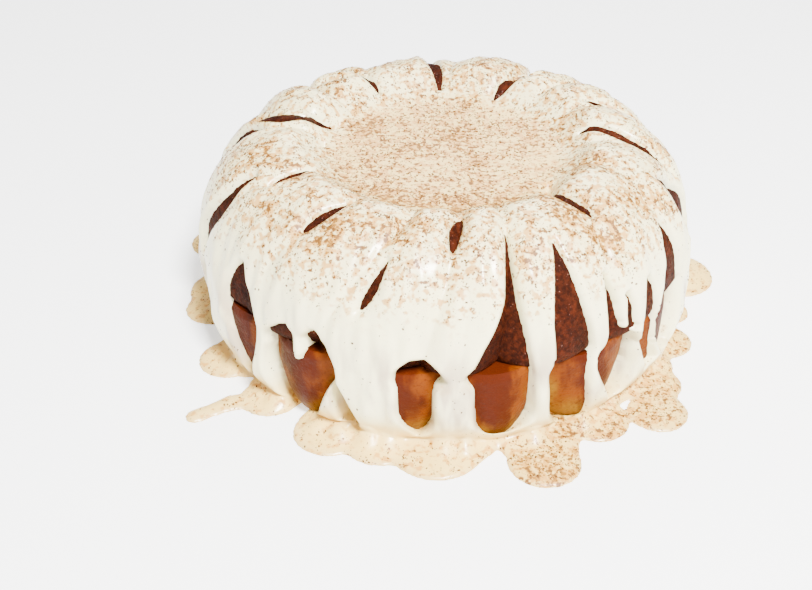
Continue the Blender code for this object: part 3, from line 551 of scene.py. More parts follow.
def fluted_cake(name, rings, flutes, faces_across, relief, lump):
    """A cake whose outline of rings is turned, pressed in along its creases, and roughened."""
    radius, height, stages = np.array(rings).T
    normal = plain_normal(stages)
    way = crease_ways(stages, normal)
    flat = (np.abs(height - SEAM) < SEAM_GAP) | (np.abs(height) < SEAM_GAP)
    way[flat, 1] = 0.0
    way[radius < EDGE_ROUND] = 0.0
    mesh = turned_mesh(name, radius, height, LOBES * faces_across)
    spun, rows = rows_of(read_vectors(mesh, "co"), radius, height)
    stage, way, height, normal, flat = stages[rows], way[rows], height[rows], normal[rows], flat[rows]
    phase = spun / 360.0 * LOBES + LOBES * 1.5
    bearing = flutes.bearing(phase, stage)
    push = unevenness(bearing, height) - flutes.depth(phase, stage)
    points = place(bearing, radius[rows] + push * way[:, 0], height + push * way[:, 1])
    bumps = np.where(flat, 0.0, relief) * (rough_noise(points, lump) - 0.4)
    angle = np.radians(bearing)
    outward = np.stack([normal[:, 0] * np.sin(angle), -normal[:, 0] * np.cos(angle), normal[:, 1]], axis=1)
    write_points(mesh, points + bumps[:, None] * outward)
    add_attribute(mesh, "crease", np.abs(2 * (phase % 1.0) - 1))
    add_attribute(mesh, "stage", stage)
    return mesh


def cake_rings(stages, first=(), last=()):
    """Rings of a cake: radius, height, stage, with its flat faces' rings before and after."""
    radius, height = plain_outline(np.asarray(stages))
    return list(first) + list(zip(radius, height, stages)) + list(last)


def flat_face_rings(height, stage):
    """Rings across a flat face, from the axis outwards."""
    return [(r, height, stage) for r in np.linspace(0.0, CAKE_RADIUS - EDGE_ROUND, FLAT_FACE_RINGS)]


# Glaze

def outline_distance(across, down, corners_across, corners_down):
    """Distance to a closed outline, negative inside. Corners are one row for each point."""
    nearest = np.full(len(across), np.inf)
    crossings = np.zeros(len(across), dtype=int)
    total = corners_across.shape[1]
    for i in range(total):
        j = (i + 1) % total
        ax, ay = corners_across[:, i], corners_down[i]
        bx, by = corners_across[:, j], corners_down[j]
        ex, ey = bx - ax, by - ay
        px, py = across - ax, down - ay
        t = np.clip((px * ex + py * ey) / np.maximum(ex * ex + ey * ey, 1e-12), 0.0, 1.0)
        nearest = np.minimum(nearest, np.hypot(px - t * ex, py - t * ey))
        spans = (ay > down) != (by > down)
        if abs(ey) > 1e-12:
            crossings += spans & (px < py * ex / ey)
    return np.where(crossings % 2 == 1, -nearest, nearest)


def glazed_outline(stages):
    """Radius and height of the glaze's outer surface where it covers the cakes and the floor."""
    radius, height = plain_outline(stages)
    normal = plain_normal(stages)
    outline = np.stack([radius + SHOULDER_GLAZE * normal[:, 0], height + SHOULDER_GLAZE * normal[:, 1]])
    for table, drawn in ((GLAZE_TOP, stages < 2.0), (GLAZE_SIDE, stages > 3.0)):
        curve = curve_through(table, 12)
        for axis in (0, 1):
            outline[axis, drawn] = np.interp(stages[drawn], curve[:, 0], curve[:, axis + 1])
    return outline


class Skin:
    """The glaze's outer surface, as rows along one outline by turns round the axis."""

    def __init__(self, step):
        fine = np.linspace(0.0, 5.0, 4001)
        radius, height = glazed_outline(fine)
        run = np.concatenate([[0.0], np.cumsum(np.hypot(np.diff(radius), np.diff(height)))])
        self.run = np.linspace(0.0, run[-1], int(run[-1] / step))
        self.stage = np.interp(self.run, run, fine)
        self.radius, self.height = glazed_outline(self.stage)
        self.glazed = np.stack([self.radius, self.height], axis=1)
        cake_radius, cake_height = plain_outline(self.stage)
        joined = eased(4.0, FLOOR_JOIN, self.stage)
        cake_radius += (self.radius - cake_radius) * joined
        self.cake = np.stack([cake_radius, cake_height], axis=1)
        inward = self.cake - self.glazed
        self.inward = inward / np.linalg.norm(inward, axis=1)[:, None]
        self.crease_way = crease_ways(self.stage, plain_normal(self.stage))
        outer = (self.stage >= 2.0) & (self.stage <= 4.0)
        self.fall = (self.height[outer][::-1], self.run[outer][::-1])
        crown = self.stage <= 3.0
        self.spread = (self.radius[crown], self.run[crown])
        self.foot_run = np.interp(4.0, self.stage, self.run)

    def run_at_height(self, height):
        return np.interp(height, *self.fall)

    def run_at_radius(self, radius):
        return np.interp(radius, *self.spread)


def window_outline(stations, skin, middle=None, mirrored=False):
    """Corners of a window, as bearings and runs down the outline, moved to a middle bearing if given."""
    curve = curve_through(stations)
    left, right = curve[:, 1], curve[:, 2]
    if mirrored:
        left, right = -right, -left
    runs = skin.run_at_height(np.maximum(curve[:, 0], 0.0))
    bearings = np.concatenate([left, right[::-1]])
    if middle is not None:
        bearings += middle - bearings.mean()
    return bearings, np.concatenate([runs, runs[::-1]])


def slit_outline(stations, skin):
    curve = curve_through(stations)
    half = np.degrees(np.maximum(curve[:, 2], SLIT_END_WIDTH) / 2 / curve[:, 0])
    runs = skin.run_at_radius(curve[:, 0])
    bearings = np.concatenate([curve[:, 1] - half, (curve[:, 1] + half)[::-1]])
    return bearings, np.concatenate([runs, runs[::-1]])


def all_outlines(skin):
    """Every opening in the glaze, and how steeply its lip rounds over."""
    outlines = [(*window_outline(stations, skin), 1.0) for stations in WINDOWS.values()]
    outlines += [(*window_outline(WINDOWS[name], skin, middle, mirrored), 1.0)
                 for name, middle, mirrored in FAR_WINDOWS]
    outlines += [(*slit_outline(stations, skin), SLIT_LIP_SHARE) for stations in SLITS]
    return outlines


def turned_from(bearing, middle):
    return (bearing - middle + 180.0) % 360.0 - 180.0


def glazed_side(skin, bearing, run, radius):
    """Distance into the glaze on the cake's side and top, negative where the cake shows."""
    cover = np.full(len(bearing), FAR_AWAY)
    arm = np.maximum(radius, 0.02)
    for bearings, runs, steepness in all_outlines(skin):
        middle = bearings.mean()
        off = turned_from(bearing, middle)
        reach = np.degrees(FAR_AWAY / arm)
        near = ((off > bearings.min() - middle - reach) & (off < bearings.max() - middle + reach)
                & (run > runs.min() - FAR_AWAY) & (run < runs.max() + FAR_AWAY))
        corners = np.radians(bearings - middle)[None, :] * arm[near][:, None]
        gap = outline_distance(np.radians(off[near]) * arm[near], run[near], corners, runs)
        cover[near] = np.minimum(cover[near], gap * steepness)
    for drip in DRIPS:
        for middle, height, half_width in curve_through(drip, 10):
            across = np.radians(turned_from(bearing, middle)) * arm
            down = run - skin.run_at_height(height)
            cover = np.maximum(cover, half_width - np.hypot(across, down))
    return cover


def beads(skin, bearing, run, radius):
    """How far the rounded swellings raise the glaze."""
    swelling = np.zeros(len(bearing))
    for middle, stage, size, swell in BEADS:
        across = np.radians(turned_from(bearing, middle)) * radius
        down = run - np.interp(stage, skin.stage, skin.run)
        off = np.clip(np.hypot(across, down) / size, 0.0, 1.0)
        swelling = np.maximum(swelling, swell * (1 - off ** 2) ** 1.5)
    return swelling


def flow(bearing, run):
    """Soft streaks down the side, where the glaze ran."""
    points = np.stack([bearing / FLOW_WIDTH, run / FLOW_LENGTH, np.zeros(len(run))], axis=1)
    return FLOW_RELIEF * rough_noise(points, 1.0)


def glazed_floor(x, y):
    """Distance into the puddles, negative on the bare floor."""
    total = np.zeros(len(x))
    for middle_x, middle_y, radius in PUDDLES:
        inside = radius - np.hypot(x - middle_x, y - middle_y)
        total += np.exp(np.clip(inside / PUDDLE_SOFTNESS, -40.0, 40.0))
    for (ax, ay), (bx, by) in zip(RUNNEL, RUNNEL[1:]):
        ex, ey = bx - ax, by - ay
        t = np.clip(((x - ax) * ex + (y - ay) * ey) / (ex * ex + ey * ey), 0.0, 1.0)
        inside = RUNNEL_HALF_WIDTH - np.hypot(x - ax - t * ex, y - ay - t * ey)
        total += np.exp(np.clip(inside / PUDDLE_SOFTNESS, -40.0, 40.0))
    return PUDDLE_SOFTNESS * np.log(np.maximum(total, 1e-9))


def glaze_points(skin, bearing, rows, lip_width):
    """Where the glaze's outer surface lies, sunk into the cake and the floor where it is bare."""
    stage, run, radius, height = skin.stage[rows], skin.run[rows], skin.radius[rows], skin.height[rows]
    inward = skin.inward[rows]
    swell = unevenness(bearing, height) * eased(1.0, 1.6, stage)
    pressed = np.where(stage > 4.0, 0.0, crease_depths(bearing, stage) - swell)
    cake = skin.cake[rows] - pressed[:, None] * skin.crease_way[rows]
    phase = UPPER_FLUTES.phase(bearing, stage)
    rounded = np.abs(2 * (phase % 1.0) - 1) ** LOBE_ROUNDNESS
    ripple = (FAINT_FOLD + (1 - FAINT_FOLD) * UPPER_FLUTES.lobe(phase)) * rounded
    sunken = ripple * looked_up(GLAZE_RIPPLE, stage) - swell - beads(skin, bearing, run, radius)
    sunken += flow(bearing, run) * eased(1.0, 3.3, stage) * (1 - eased(3.8, 4.1, stage))
    top = skin.glazed[rows] + sunken[:, None] * inward
    side = glazed_side(skin, bearing, run, radius)
    angle = np.radians(bearing)
    floor = glazed_floor(radius * np.sin(angle), -radius * np.cos(angle))
    floor_share = eased(skin.foot_run - FOOT_BLEND, skin.foot_run + FOOT_BLEND, run)
    cover = side * (1 - floor_share) + floor * floor_share
    lip = np.sqrt(1 - (1 - np.clip(cover / lip_width, 0.0, 1.0)) ** 2)
    meniscus = np.clip(cover / PUDDLE_RISE, 0.0, 1.0) ** PUDDLE_RISE_POWER
    rise = (lip + (meniscus - lip) * floor_share)[:, None]
    sunk = np.where(cover > 0, 0.0, np.minimum(BURIED_AT_EDGE - 2 * cover, BURIED_INSIDE))[:, None]
    surface = cake + (top - cake) * rise + sunk * inward
    return place(bearing, surface[:, 0], surface[:, 1])


def core_cutter(piece):
    """A cutter that stands a little inside a cake, so that the glaze's inner side is hidden in it."""
    mesh = piece.data.copy()
    with edited(mesh) as shape:
        bmesh.ops.remove_doubles(shape, verts=shape.verts, dist=MERGE_DISTANCE)
        bmesh.ops.recalc_face_normals(shape, faces=shape.faces)
    points = read_vectors(mesh, "co")
    flat = np.abs(points[:, 2] - SEAM) < SEAM_GAP
    inset = points - CORE_INSET * read_vectors(mesh, "normal")
    inset[flat, 2] = SEAM - SEAM_OVERLAP * np.sign(points[flat, 2] - SEAM)
    write_points(mesh, inset)
    core = add_object(piece.name + "_core", mesh)
    fewer = core.modifiers.new("Fewer faces", "DECIMATE")
    fewer.ratio = CORE_FACES_KEPT
    settle(core)
    return core


def floor_cutter():
    mesh = bpy.data.meshes.new("floor_cut")
    span = (FLOOR_CUT_WIDTH, FLOOR_CUT_WIDTH, 2 * FLOOR_CUT_DEPTH)
    with edited(mesh) as shape:
        bmesh.ops.create_cube(shape, size=1.0)
        bmesh.ops.subdivide_edges(shape, edges=shape.edges, cuts=FLOOR_CUT_PARTS, use_grid_fill=True)
        bmesh.ops.scale(shape, vec=span, verts=shape.verts)
        bmesh.ops.translate(shape, vec=(0, 0, -FLOOR_CUT_DEPTH), verts=shape.verts)
    return add_object("floor_cut", mesh)


def keep_largest_body(mesh):
    """Drop the loose scraps that the cuts leave."""
    with edited(mesh) as shape:
        unseen = set(shape.verts)
        bodies = []
        while unseen:
            body, edge = [], [unseen.pop()]
            while edge:
                corner = edge.pop()
                body.append(corner)
                for link in corner.link_edges:
                    other = link.other_vert(corner)
                    if other in unseen:
                        unseen.remove(other)
                        edge.append(other)
            bodies.append(body)
        scraps = sorted(bodies, key=len)[:-1]
        bmesh.ops.delete(shape, geom=[corner for body in scraps for corner in body], context="VERTS")


def nutmeg_cover(points, normals):
    """How thickly nutmeg lies at each point, from 0 to 1: most on what faces up, and in patches."""
    x, y, z = points.T
    radius = np.hypot(x, y)
    facing_up = eased(0.10, 0.85, normals[:, 2])
    patches = eased(-0.25, 0.45, rough_noise(points, 0.030))
    crest = eased(CREST_HEIGHT - 0.035, CREST_HEIGHT - 0.008, z)
    front = 0.5 - 0.5 * y / np.maximum(radius, 0.01)
    hollow = 1 - eased(0.050, 0.064, radius)
    puddle = 1 - eased(0.004, 0.008, z)
    right_puddle = puddle * eased(0.005, 0.045, x) * eased(0.0, 0.05, -y)
    top = crest * (0.62 + 0.25 * front) * (1 - hollow)
    middle = hollow * (0.85 + 0.25 * eased(0.030, -0.030, x))
    side = 0.20 * (1 - crest) * (1 - puddle)
    cover = 1.05 * top + middle + side + 0.28 * puddle + 0.60 * right_puddle
    return np.clip(cover * (0.25 + 0.75 * facing_up) * (0.55 + 0.45 * patches), 0.0, 1.0)


def mark_glaze(mesh):
    """Where the glaze is pooled, dusted or at a puddle's rim, and the band down its lower sides that is
    painted with shade and with the cake showing through thin glaze; for its paint and its nutmeg.
    """
    points = read_vectors(mesh, "co")
    z = points[:, 2]
    radius = np.hypot(points[:, 0], points[:, 1])
    marks = {
        "pooled": np.maximum(1 - eased(HOLLOW_RADIUS, 0.064, radius), 1 - eased(0.003, 0.020, z)),
        "dust": nutmeg_cover(points, read_vectors(mesh, "normal")),
        # The band down the lower sides: painted shade on the runs of glaze, partly the cake showing through
        # where the glaze is thin
        "thin": eased(0.070, 0.040, z) * eased(0.006, 0.016, z) * eased(0.085, 0.100, radius),
        "rim": 1 - eased(0.0002, 0.0021, z),
    }
    for name, values in marks.items():
        add_attribute(mesh, name, values)


# Shaders

class Value:
    """A shader value that can be added, multiplied and so on in an expression."""

    def __init__(self, paint, socket):
        self.paint = paint
        self.socket = socket

    def joined(self, operation, other, swapped=False):
        first, second = (other, self) if swapped else (self, other)
        return self.paint.add("ShaderNodeMath", {"operation": operation}, {0: first, 1: second})

    def __add__(self, other):
        return self.joined("ADD", other)

    __radd__ = __add__

    def __mul__(self, other):
        return self.joined("MULTIPLY", other)

    __rmul__ = __mul__

    def __sub__(self, other):
        return self.joined("SUBTRACT", other)

    def __rsub__(self, other):
        return self.joined("SUBTRACT", other, swapped=True)

    def at_most(self, other):
        return self.joined("MINIMUM", other)

    def between(self, low, high):
        """0 below low, 1 above high, and smooth in between."""
        return self.paint.add("ShaderNodeMapRange", {"interpolation_type": "SMOOTHSTEP"},
                              {"Value": self, "From Min": low, "From Max": high})


class Paint:
    """A material's nodes, and its shader."""

    def __init__(self, name, **constants):
        self.material = bpy.data.materials.new(name)
        self.material.use_nodes = True
        self.tree = self.material.node_tree
        self.shader = self.tree.nodes["Principled BSDF"]
        self.place = self.add("ShaderNodeTexCoord", {}, {}, "Object")
        for socket, constant in constants.items():
            self.shader.inputs[socket.replace("_", " ")].default_value = constant

    def feed(self, socket, value):
        if isinstance(value, Value):
            self.tree.links.new(value.socket, socket)
        elif isinstance(value, (int, float)) or socket.type == "VECTOR":
            socket.default_value = value
        else:
            socket.default_value = (*value, 1.0)

    def add(self, kind, settings, values, output=0):
        """A node of a kind, with its settings, its inputs' values or links, and the output to use."""
        node = self.tree.nodes.new(kind)
        for name, setting in settings.items():
            setattr(node, name, setting)
        for name, value in values.items():
            self.feed(node.inputs[name], value)
        return Value(self, node.outputs[output])

    def noise(self, size, detail=3.0, roughness=0.55, stretch=None):
        """Noise from 0 to 1, with lumps of a size in metres."""
        place = self.place
        if stretch:
            place = self.add("ShaderNodeMapping", {}, {"Vector": place, "Scale": stretch})
        return self.add("ShaderNodeTexNoise", {}, {
            "Vector": place, "Scale": 1.0 / size, "Detail": detail, "Roughness": roughness})

    def specks(self, size):
        """Distance from the nearest of many scattered points, in parts of their spacing."""
        return self.add("ShaderNodeTexVoronoi", {}, {"Vector": self.place, "Scale": 1.0 / size})

    def attribute(self, name):
        return self.add("ShaderNodeAttribute", {"attribute_name": name}, {}, "Fac")

    def mix(self, share, first, second):
        return self.add("ShaderNodeMix", {"data_type": "RGBA"}, {0: share, 6: first, 7: second}, 2)

    def bump(self, height, distance):
        bump = self.add("ShaderNodeBump", {}, {"Height": height, "Distance": distance, "Strength": 1.0})
        self.feed(self.shader.inputs["Normal"], bump)

    def finish(self, **inputs):
        for name, value in inputs.items():
            self.feed(self.shader.inputs[name.replace("_", " ")], value)
        return self.material


def shaded(colour, factor):
    return tuple(part * factor for part in colour)


def dark_crumb_paint(colours):
    """Dark sponge: fine pores, lighter crumbs, and a few moist glints."""
    paint = Paint("dark crumb", Specular_IOR_Level=0.035, Coat_Roughness=0.25)
    pores = paint.noise(0.0022, 5.0, 0.65)
    patches = paint.noise(0.014, 2.0)
    crumb = colours.dark_crumb
    colour = paint.mix(patches.between(0.35, 0.70), shaded(crumb, 0.80), shaded(crumb, 1.45))
    colour = paint.mix(pores.between(0.56, 0.40) * 0.7, colour, shaded(crumb, 0.25))
    colour = paint.mix(pores.between(0.56, 0.70) * 0.5, colour, shaded(crumb, 2.2))
    shiny = paint.attribute("stage").between(2.9, 2.2) * 0.16
    moist = (paint.noise(0.004, 2.0) + shiny).between(0.56, 0.70)
    glint = (1 - paint.specks(0.0014).between(0.08, 0.20)) * moist
    colour = paint.mix(glint * 0.6, colour, colours.moist_glint)
    paint.bump(pores + paint.noise(0.0009, 2.0) * 0.5, 0.0007)
    return paint.finish(Base_Color=colour, Roughness=0.62 - glint * 0.2, Coat_Weight=glint * 0.8)


def golden_crust_paint(colours):
    """Baked crust: red-brown in the middle of each flute, orange beside it, olive gold in the creases."""
    paint = Paint("golden crust", Specular_IOR_Level=0.05)
    crease = paint.attribute("crease")
    stage = paint.attribute("stage")
    streaks = paint.noise(0.010, 3.0, 0.6, stretch=(1.0, 1.0, 0.35))
    patches = paint.noise(0.017, 2.0, 0.5)
    pores = paint.noise(0.0016, 4.0, 0.6)
    topmost = stage.between(3.50, 3.05)
    mottled = crease + (streaks - 0.5) * 1.5 + (patches - 0.5) * 1.1 - topmost * 0.25
    browned = mottled.between(0.54, 0.08) * stage.between(3.92, 3.45)
    foot = (stage + (streaks - 0.5) * 0.35).between(3.42, 3.70)
    pale = (crease + (streaks - 0.5) * 0.6).between(0.60, 0.90) * stage.between(3.1, 3.4) + foot
    colour = paint.mix(pale.at_most(1.0) * 0.92, colours.golden, colours.pale_base)
    colour = paint.mix(browned * 0.92, colour, colours.browned)
    colour = paint.mix(pores.between(0.52, 0.70) * 0.55, colour, colours.browned)
    paint.bump(pores, 0.0004)
    return paint.finish(Base_Color=colour, Roughness=0.42 + pores * 0.15)


def glaze_paint(colours):
    """Cream glaze: warmer where it pools, with orange stains where nutmeg melts into it, and painted shade
    in streaks down its lower sides, partly the cake showing through thin glaze.
    """
    paint = Paint("cream glaze", Subsurface_Weight=0.12, Subsurface_Radius=(0.006, 0.0045, 0.003),
                  Subsurface_Scale=1.0, Coat_Roughness=0.16)
    dust = paint.attribute("dust")
    pooled = paint.attribute("pooled")
    cloud = paint.noise(0.020, 3.0, 0.5)
    warm = (pooled + (cloud - 0.5) * 0.35 * pooled).at_most(1.0)
    runs = paint.noise(0.012, 3.0, 0.5, stretch=(1.0, 1.0, 0.3))
    # Painted shade: a lilac-brown tint in streaks down the lower sides, partly the cake showing through
    # thin glaze
    thin = paint.attribute("thin") * runs.between(0.44, 0.68)
    colour = paint.mix(thin * 0.70, colours.glaze, colours.thin)
    colour = paint.mix(warm, colour, colours.pooled)
    colour = paint.mix(paint.attribute("rim") * 0.35, colour, colours.thin)
    colour = paint.mix(dust * 0.50, colour, colours.pooled)
    colour = paint.mix(dust * 0.16, colour, colours.stain)
    grain = paint.noise(0.0024, 3.0, 0.6)
    patch = paint.noise(0.006, 2.0, 0.5)
    halo = (paint.noise(0.0030, 1.0, 0.5) + dust * 0.26 + (patch - 0.5) * 0.35).between(0.56, 0.78)
    colour = paint.mix(halo * dust.between(0.02, 0.2) * 0.80, colour, colours.halo)
    blots = (grain + dust * 0.20 + (patch - 0.5) * 0.20).between(0.66, 0.75)
    dot_size = dust * 0.36 + (patch - 0.5) * 0.6 + 0.03
    dots = (dot_size - paint.specks(0.0023)).between(0.0, 0.06)
    stained = (blots + dots).at_most(1.0) * dust.between(0.02, 0.2)
    colour = paint.mix(stained * 0.92, colour, colours.stain)
    colour = paint.mix(stained * grain.between(0.52, 0.64) * 0.75, colour, colours.nutmeg)
    paint.bump(paint.noise(0.0035, 2.0), 0.00012)
    return paint.finish(Base_Color=colour, Roughness=0.36 + stained * 0.2,
                        Coat_Weight=0.25 - stained * 0.22)


def nutmeg_paint(name, colour, dark):
    paint = Paint(name, Specular_IOR_Level=0.3)
    patches = paint.noise(0.004, 1.0).between(0.35, 0.65)
    return paint.finish(Base_Color=paint.mix(patches, dark, colour), Roughness=0.75)


# Nutmeg

def scatter_tree(name, material):
    """Nodes that scatter grains over a surface, more where its dust attribute is high."""
    tree = bpy.data.node_groups.new(name, "GeometryNodeTree")
    tree.is_modifier = True
    face = tree.interface
    face.new_socket("Geometry", in_out="INPUT", socket_type="NodeSocketGeometry")
    for label in ("Density", "Smallest", "Largest", "Flatness"):
        face.new_socket(label, in_out="INPUT", socket_type="NodeSocketFloat")
    face.new_socket("Seed", in_out="INPUT", socket_type="NodeSocketInt")
    face.new_socket("Geometry", in_out="OUTPUT", socket_type="NodeSocketGeometry")
    nodes, links = tree.nodes, tree.links

    def add(kind, settings, values):
        node = nodes.new(kind)
        for key, setting in settings.items():
            setattr(node, key, setting)
        for key, value in values.items():
            if isinstance(value, bpy.types.NodeSocket):
                links.new(value, node.inputs[key])
            else:
                node.inputs[key].default_value = value
        return node.outputs

    def product(first, second):
        return add("ShaderNodeMath", {"operation": "MULTIPLY"}, {0: first, 1: second})[0]

    given = nodes.new("NodeGroupInput").outputs
    dust = add("GeometryNodeInputNamedAttribute", {"data_type": "FLOAT"}, {"Name": "dust"})["Attribute"]
    lumps = add("ShaderNodeTexNoise", {}, {"Scale": 1 / CLUMP_SIZE, "Detail": 2.0})[0]
    clump = add("ShaderNodeMapRange", {}, {
        "Value": lumps, "From Min": 0.42, "From Max": 0.62, "To Min": 0.08, "To Max": 1.6})[0]
    thick = product(product(dust, clump), given["Density"])
    spots = add("GeometryNodeDistributePointsOnFaces", {"distribute_method": "RANDOM"}, {
        "Mesh": given["Geometry"], "Density": thick, "Seed": given["Seed"]})
    grain = add("GeometryNodeMeshCube", {}, {"Size": (GRAIN_SIZE, GRAIN_SIZE, GRAIN_SIZE)})["Mesh"]
    flat = add("ShaderNodeCombineXYZ", {}, {0: 1.0, 1: GRAIN_BREADTH, 2: given["Flatness"]})[0]
    shaped = add("GeometryNodeTransform", {}, {"Geometry": grain, "Scale": flat})["Geometry"]
    spin = add("FunctionNodeRandomValue", {"data_type": "FLOAT"}, {
        2: 0.0, 3: 2 * math.pi, "Seed": given["Seed"]})[1]
    twist = add("ShaderNodeCombineXYZ", {}, {2: spin})[0]
    turned = add("FunctionNodeRotateRotation", {"rotation_space": "LOCAL"}, {
        "Rotation": spots["Rotation"], "Rotate By": twist})["Rotation"]
    size = add("FunctionNodeRandomValue", {"data_type": "FLOAT"}, {
        2: given["Smallest"], 3: given["Largest"], "Seed": given["Seed"]})[1]
    grains = add("GeometryNodeInstanceOnPoints", {}, {
        "Points": spots["Points"], "Instance": shaped, "Rotation": turned, "Scale": size})["Instances"]
    real = add("GeometryNodeRealizeInstances", {}, {"Geometry": grains})["Geometry"]
    coated = add("GeometryNodeSetMaterial", {}, {"Geometry": real, "Material": material})["Geometry"]
    links.new(coated, nodes.new("NodeGroupOutput").inputs[0])
    return tree


def scatter(name, ground, material, slot, **inputs):
    """Grains over the glaze as one plain mesh."""
    piece = add_object(name, ground.data.copy())
    nodes = piece.modifiers.new("Scatter", "NODES")
    nodes.node_group = scatter_tree(name, material)
    for item in nodes.node_group.interface.items_tree:
        if item.in_out == "INPUT" and item.name in inputs:
            nodes[item.identifier] = inputs[item.name]
    settle(piece)
    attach(piece, "root")


class RUMCAKE_OT_lower_cake(bpy.types.Operator):
    """Make the golden lower cake"""

    bl_idname = "rumcake.lower_cake"
    bl_label = "Lower Cake"

    def execute(self, context):
        sizes, colours = context.scene.rum_cake_sizes, context.scene.rum_cake_colours
        top = SEAM - SEAM_GAP / 2
        stages = LOWER_TOP_STAGE + (4.0 - LOWER_TOP_STAGE) * np.linspace(0.0, 1.0, LOWER_SIDE_RINGS)
        base = [(r, 0.0, 4.0) for r in np.linspace(BASE_RADIUS, 0.0, LOWER_BASE_RINGS)[1:]]
        rings = cake_rings(stages, flat_face_rings(top, 3.01), base)
        mesh = fluted_cake("golden_cake", rings, LOWER_FLUTES, sizes.lobe_faces, sizes.crust_relief,
                           CRUST_LUMP)
        shade_smooth(mesh, CAKE_EDGE_ANGLE)
        piece = add_object("golden_cake", mesh)
        mesh.materials.append(golden_crust_paint(colours))
        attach(piece, "root")
        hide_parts("lower_cake")
        return {"FINISHED"}


class RUMCAKE_OT_upper_cake(bpy.types.Operator):
    """Make the dark upper cake"""

    bl_idname = "rumcake.upper_cake"
    bl_label = "Upper Cake"

    def execute(self, context):
        sizes, colours = context.scene.rum_cake_sizes, context.scene.rum_cake_colours
        foot = SEAM + SEAM_GAP / 2
        stages = np.unique(np.concatenate([np.linspace(*span) for span in UPPER_RINGS]))
        rings = cake_rings(stages, (), flat_face_rings(foot, 3.0)[::-1])
        mesh = fluted_cake("dark_cake", rings, UPPER_FLUTES, sizes.lobe_faces, sizes.crumb_relief,
                           CRUMB_LUMP)
        shade_smooth(mesh, CAKE_EDGE_ANGLE)
        piece = add_object("dark_cake", mesh)
        mesh.materials.append(dark_crumb_paint(colours))
        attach(piece, "root")
        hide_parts("upper_cake")
        return {"FINISHED"}


class RUMCAKE_OT_glaze(bpy.types.Operator):
    """Pour the glaze over the cakes"""

    bl_idname = "rumcake.glaze"
    bl_label = "Glaze"

    def execute(self, context):
        sizes, colours = context.scene.rum_cake_sizes, context.scene.rum_cake_colours
        skin = Skin(sizes.glaze_step)
        radius = np.concatenate([skin.radius, [GLAZE_REACH, 0.0]])
        height = np.concatenate([skin.height, [-FLOOR_CUT_DEPTH, -FLOOR_CUT_DEPTH]])
        mesh = turned_mesh("poured_glaze", radius, height, sizes.glaze_turns)
        points = read_vectors(mesh, "co")
        spun, rows = rows_of(points, radius, height)
        on_skin = rows < len(skin.run)
        points[on_skin] = glaze_points(skin, spun[on_skin], rows[on_skin], sizes.lip_width)
        write_points(mesh, points)
        piece = add_object("poured_glaze", mesh)
        fewer = piece.modifiers.new("Fewer faces", "DECIMATE")
        fewer.ratio = sizes.glaze_faces / (2.0 * len(mesh.vertices))
        cutters = [core_cutter(bpy.data.objects[name]) for name in ("dark_cake", "golden_cake")]
        cutters.append(floor_cutter())
        for cutter in cutters:
            cut = piece.modifiers.new("Cut " + cutter.name, "BOOLEAN")
            cut.operation = "DIFFERENCE"
            cut.solver = "MANIFOLD"
            cut.object = cutter
        settle(piece)
        for cutter in cutters:
            bpy.data.objects.remove(cutter)
        keep_largest_body(piece.data)
        shade_smooth(piece.data, GLAZE_EDGE_ANGLE)
        mark_glaze(piece.data)
        piece.data.materials.clear()
        piece.data.materials.append(glaze_paint(colours))
        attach(piece, "root")
        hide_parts("glaze")
        return {"FINISHED"}


class RUMCAKE_OT_nutmeg(bpy.types.Operator):
    """Dust the glaze with nutmeg"""

    bl_idname = "rumcake.nutmeg"
    bl_label = "Nutmeg"

    def execute(self, context):
        sizes, colours = context.scene.rum_cake_sizes, context.scene.rum_cake_colours
        ground = bpy.data.objects["poured_glaze"]
        brown = shaded(colours.nutmeg, 0.60)
        flakes = nutmeg_paint("nutmeg flakes", colours.nutmeg, brown)
        specks = nutmeg_paint("nutmeg specks", brown, shaded(brown, 0.4))
        scatter("nutmeg_flakes", ground, flakes, "golden_crust", Density=sizes.flake_density,
                Smallest=0.00022, Largest=0.00060, Flatness=0.45, Seed=4)
        scatter("nutmeg_specks", ground, specks, "dark_crumb", Density=sizes.speck_density,
                Smallest=0.00012, Largest=0.00030, Flatness=0.6, Seed=9)
        return {"FINISHED"}


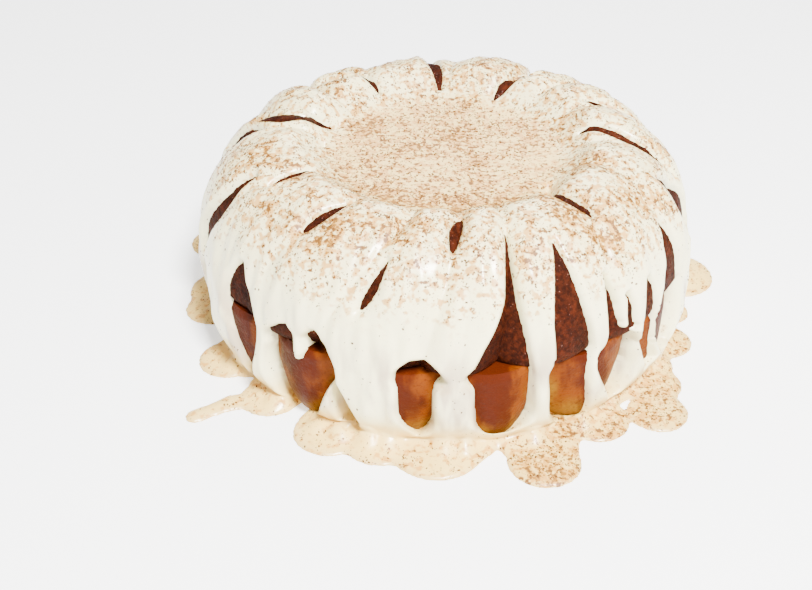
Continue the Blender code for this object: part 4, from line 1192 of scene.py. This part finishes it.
class RUMCAKE_OT_stage(bpy.types.Operator):
    """Set up the floor, the light and the camera"""

    bl_idname = "rumcake.stage"
    bl_label = "Stage"

    def execute(self, context):
        self.add_floor()
        self.add_lights(context)
        self.add_camera(context)
        return {"FINISHED"}

    def add_floor(self):
        mesh = bpy.data.meshes.new("floor")
        with edited(mesh) as shape:
            bmesh.ops.create_grid(shape, x_segments=1, y_segments=1, size=FLOOR_SIZE)
        floor = add_object("floor", mesh)
        paint = Paint("pale floor", Emission_Strength=1.0)
        mesh.materials.append(paint.finish(Base_Color=FLOOR_COLOUR, Roughness=0.8,
                                           Emission_Color=FLOOR_GLOW))

    def add_lights(self, context):
        world = bpy.data.worlds.new("studio")
        world.use_nodes = True
        sky = world.node_tree.nodes["Background"]
        sky.inputs["Color"].default_value = SKY_COLOUR
        sky.inputs["Strength"].default_value = SKY_STRENGTH
        context.scene.world = world
        for name, place_at, size, power in LIGHTS:
            light = bpy.data.lights.new(name, "AREA")
            light.shape = "DISK"
            light.size = size
            light.energy = power
            lamp = bpy.data.objects.new(name, light)
            lamp.location = place_at
            lamp.rotation_euler = (Vector(LIGHT_AIM) - lamp.location).to_track_quat("-Z", "Y").to_euler()
            context.scene.collection.objects.link(lamp)

    def add_camera(self, context):
        camera = bpy.data.cameras.new("camera")
        camera.sensor_width = SENSOR_WIDTH
        camera.lens = SENSOR_WIDTH * PHOTO_FOCAL_LENGTH / PHOTO_WIDTH
        viewer = bpy.data.objects.new("camera", camera)
        tilt = math.radians(CAMERA_TILT)
        aim_x, aim_z = CAMERA_AIM
        viewer.location = (aim_x, -CAMERA_DISTANCE * math.cos(tilt),
                           aim_z + CAMERA_DISTANCE * math.sin(tilt))
        viewer.rotation_euler = (math.pi / 2 - tilt, 0.0, 0.0)
        context.scene.collection.objects.link(viewer)
        context.scene.camera = viewer


class RUMCAKE_PT_panel(bpy.types.Panel):
    """Buttons for the rum cake's pieces"""

    bl_idname = "RUMCAKE_PT_panel"
    bl_label = "Rum Cake"
    bl_space_type = "VIEW_3D"
    bl_region_type = "UI"
    bl_category = "Rum Cake"

    def draw(self, context):
        for group in (context.scene.rum_cake_sizes, context.scene.rum_cake_colours):
            for name in group.__annotations__:
                self.layout.prop(group, name)
        for operator in OPERATORS:
            self.layout.operator(operator.bl_idname)


OPERATORS = (RUMCAKE_OT_lower_cake, RUMCAKE_OT_upper_cake, RUMCAKE_OT_glaze, RUMCAKE_OT_nutmeg,
             RUMCAKE_OT_stage)
CLASSES = (RumCakeSizes, RumCakeColours, *OPERATORS, RUMCAKE_PT_panel)


def register():
    for kind in CLASSES:
        bpy.utils.register_class(kind)
    bpy.types.Scene.rum_cake_sizes = bpy.props.PointerProperty(type=RumCakeSizes)
    bpy.types.Scene.rum_cake_colours = bpy.props.PointerProperty(type=RumCakeColours)


def unregister():
    del bpy.types.Scene.rum_cake_colours
    del bpy.types.Scene.rum_cake_sizes
    for kind in reversed(CLASSES):
        bpy.utils.unregister_class(kind)


def main():
    register()
    bpy.ops.rumcake.lower_cake()
    bpy.ops.rumcake.upper_cake()
    bpy.ops.rumcake.glaze()
    bpy.ops.rumcake.nutmeg()
    bpy.ops.rumcake.stage()


if __name__ == "__main__":
    main()
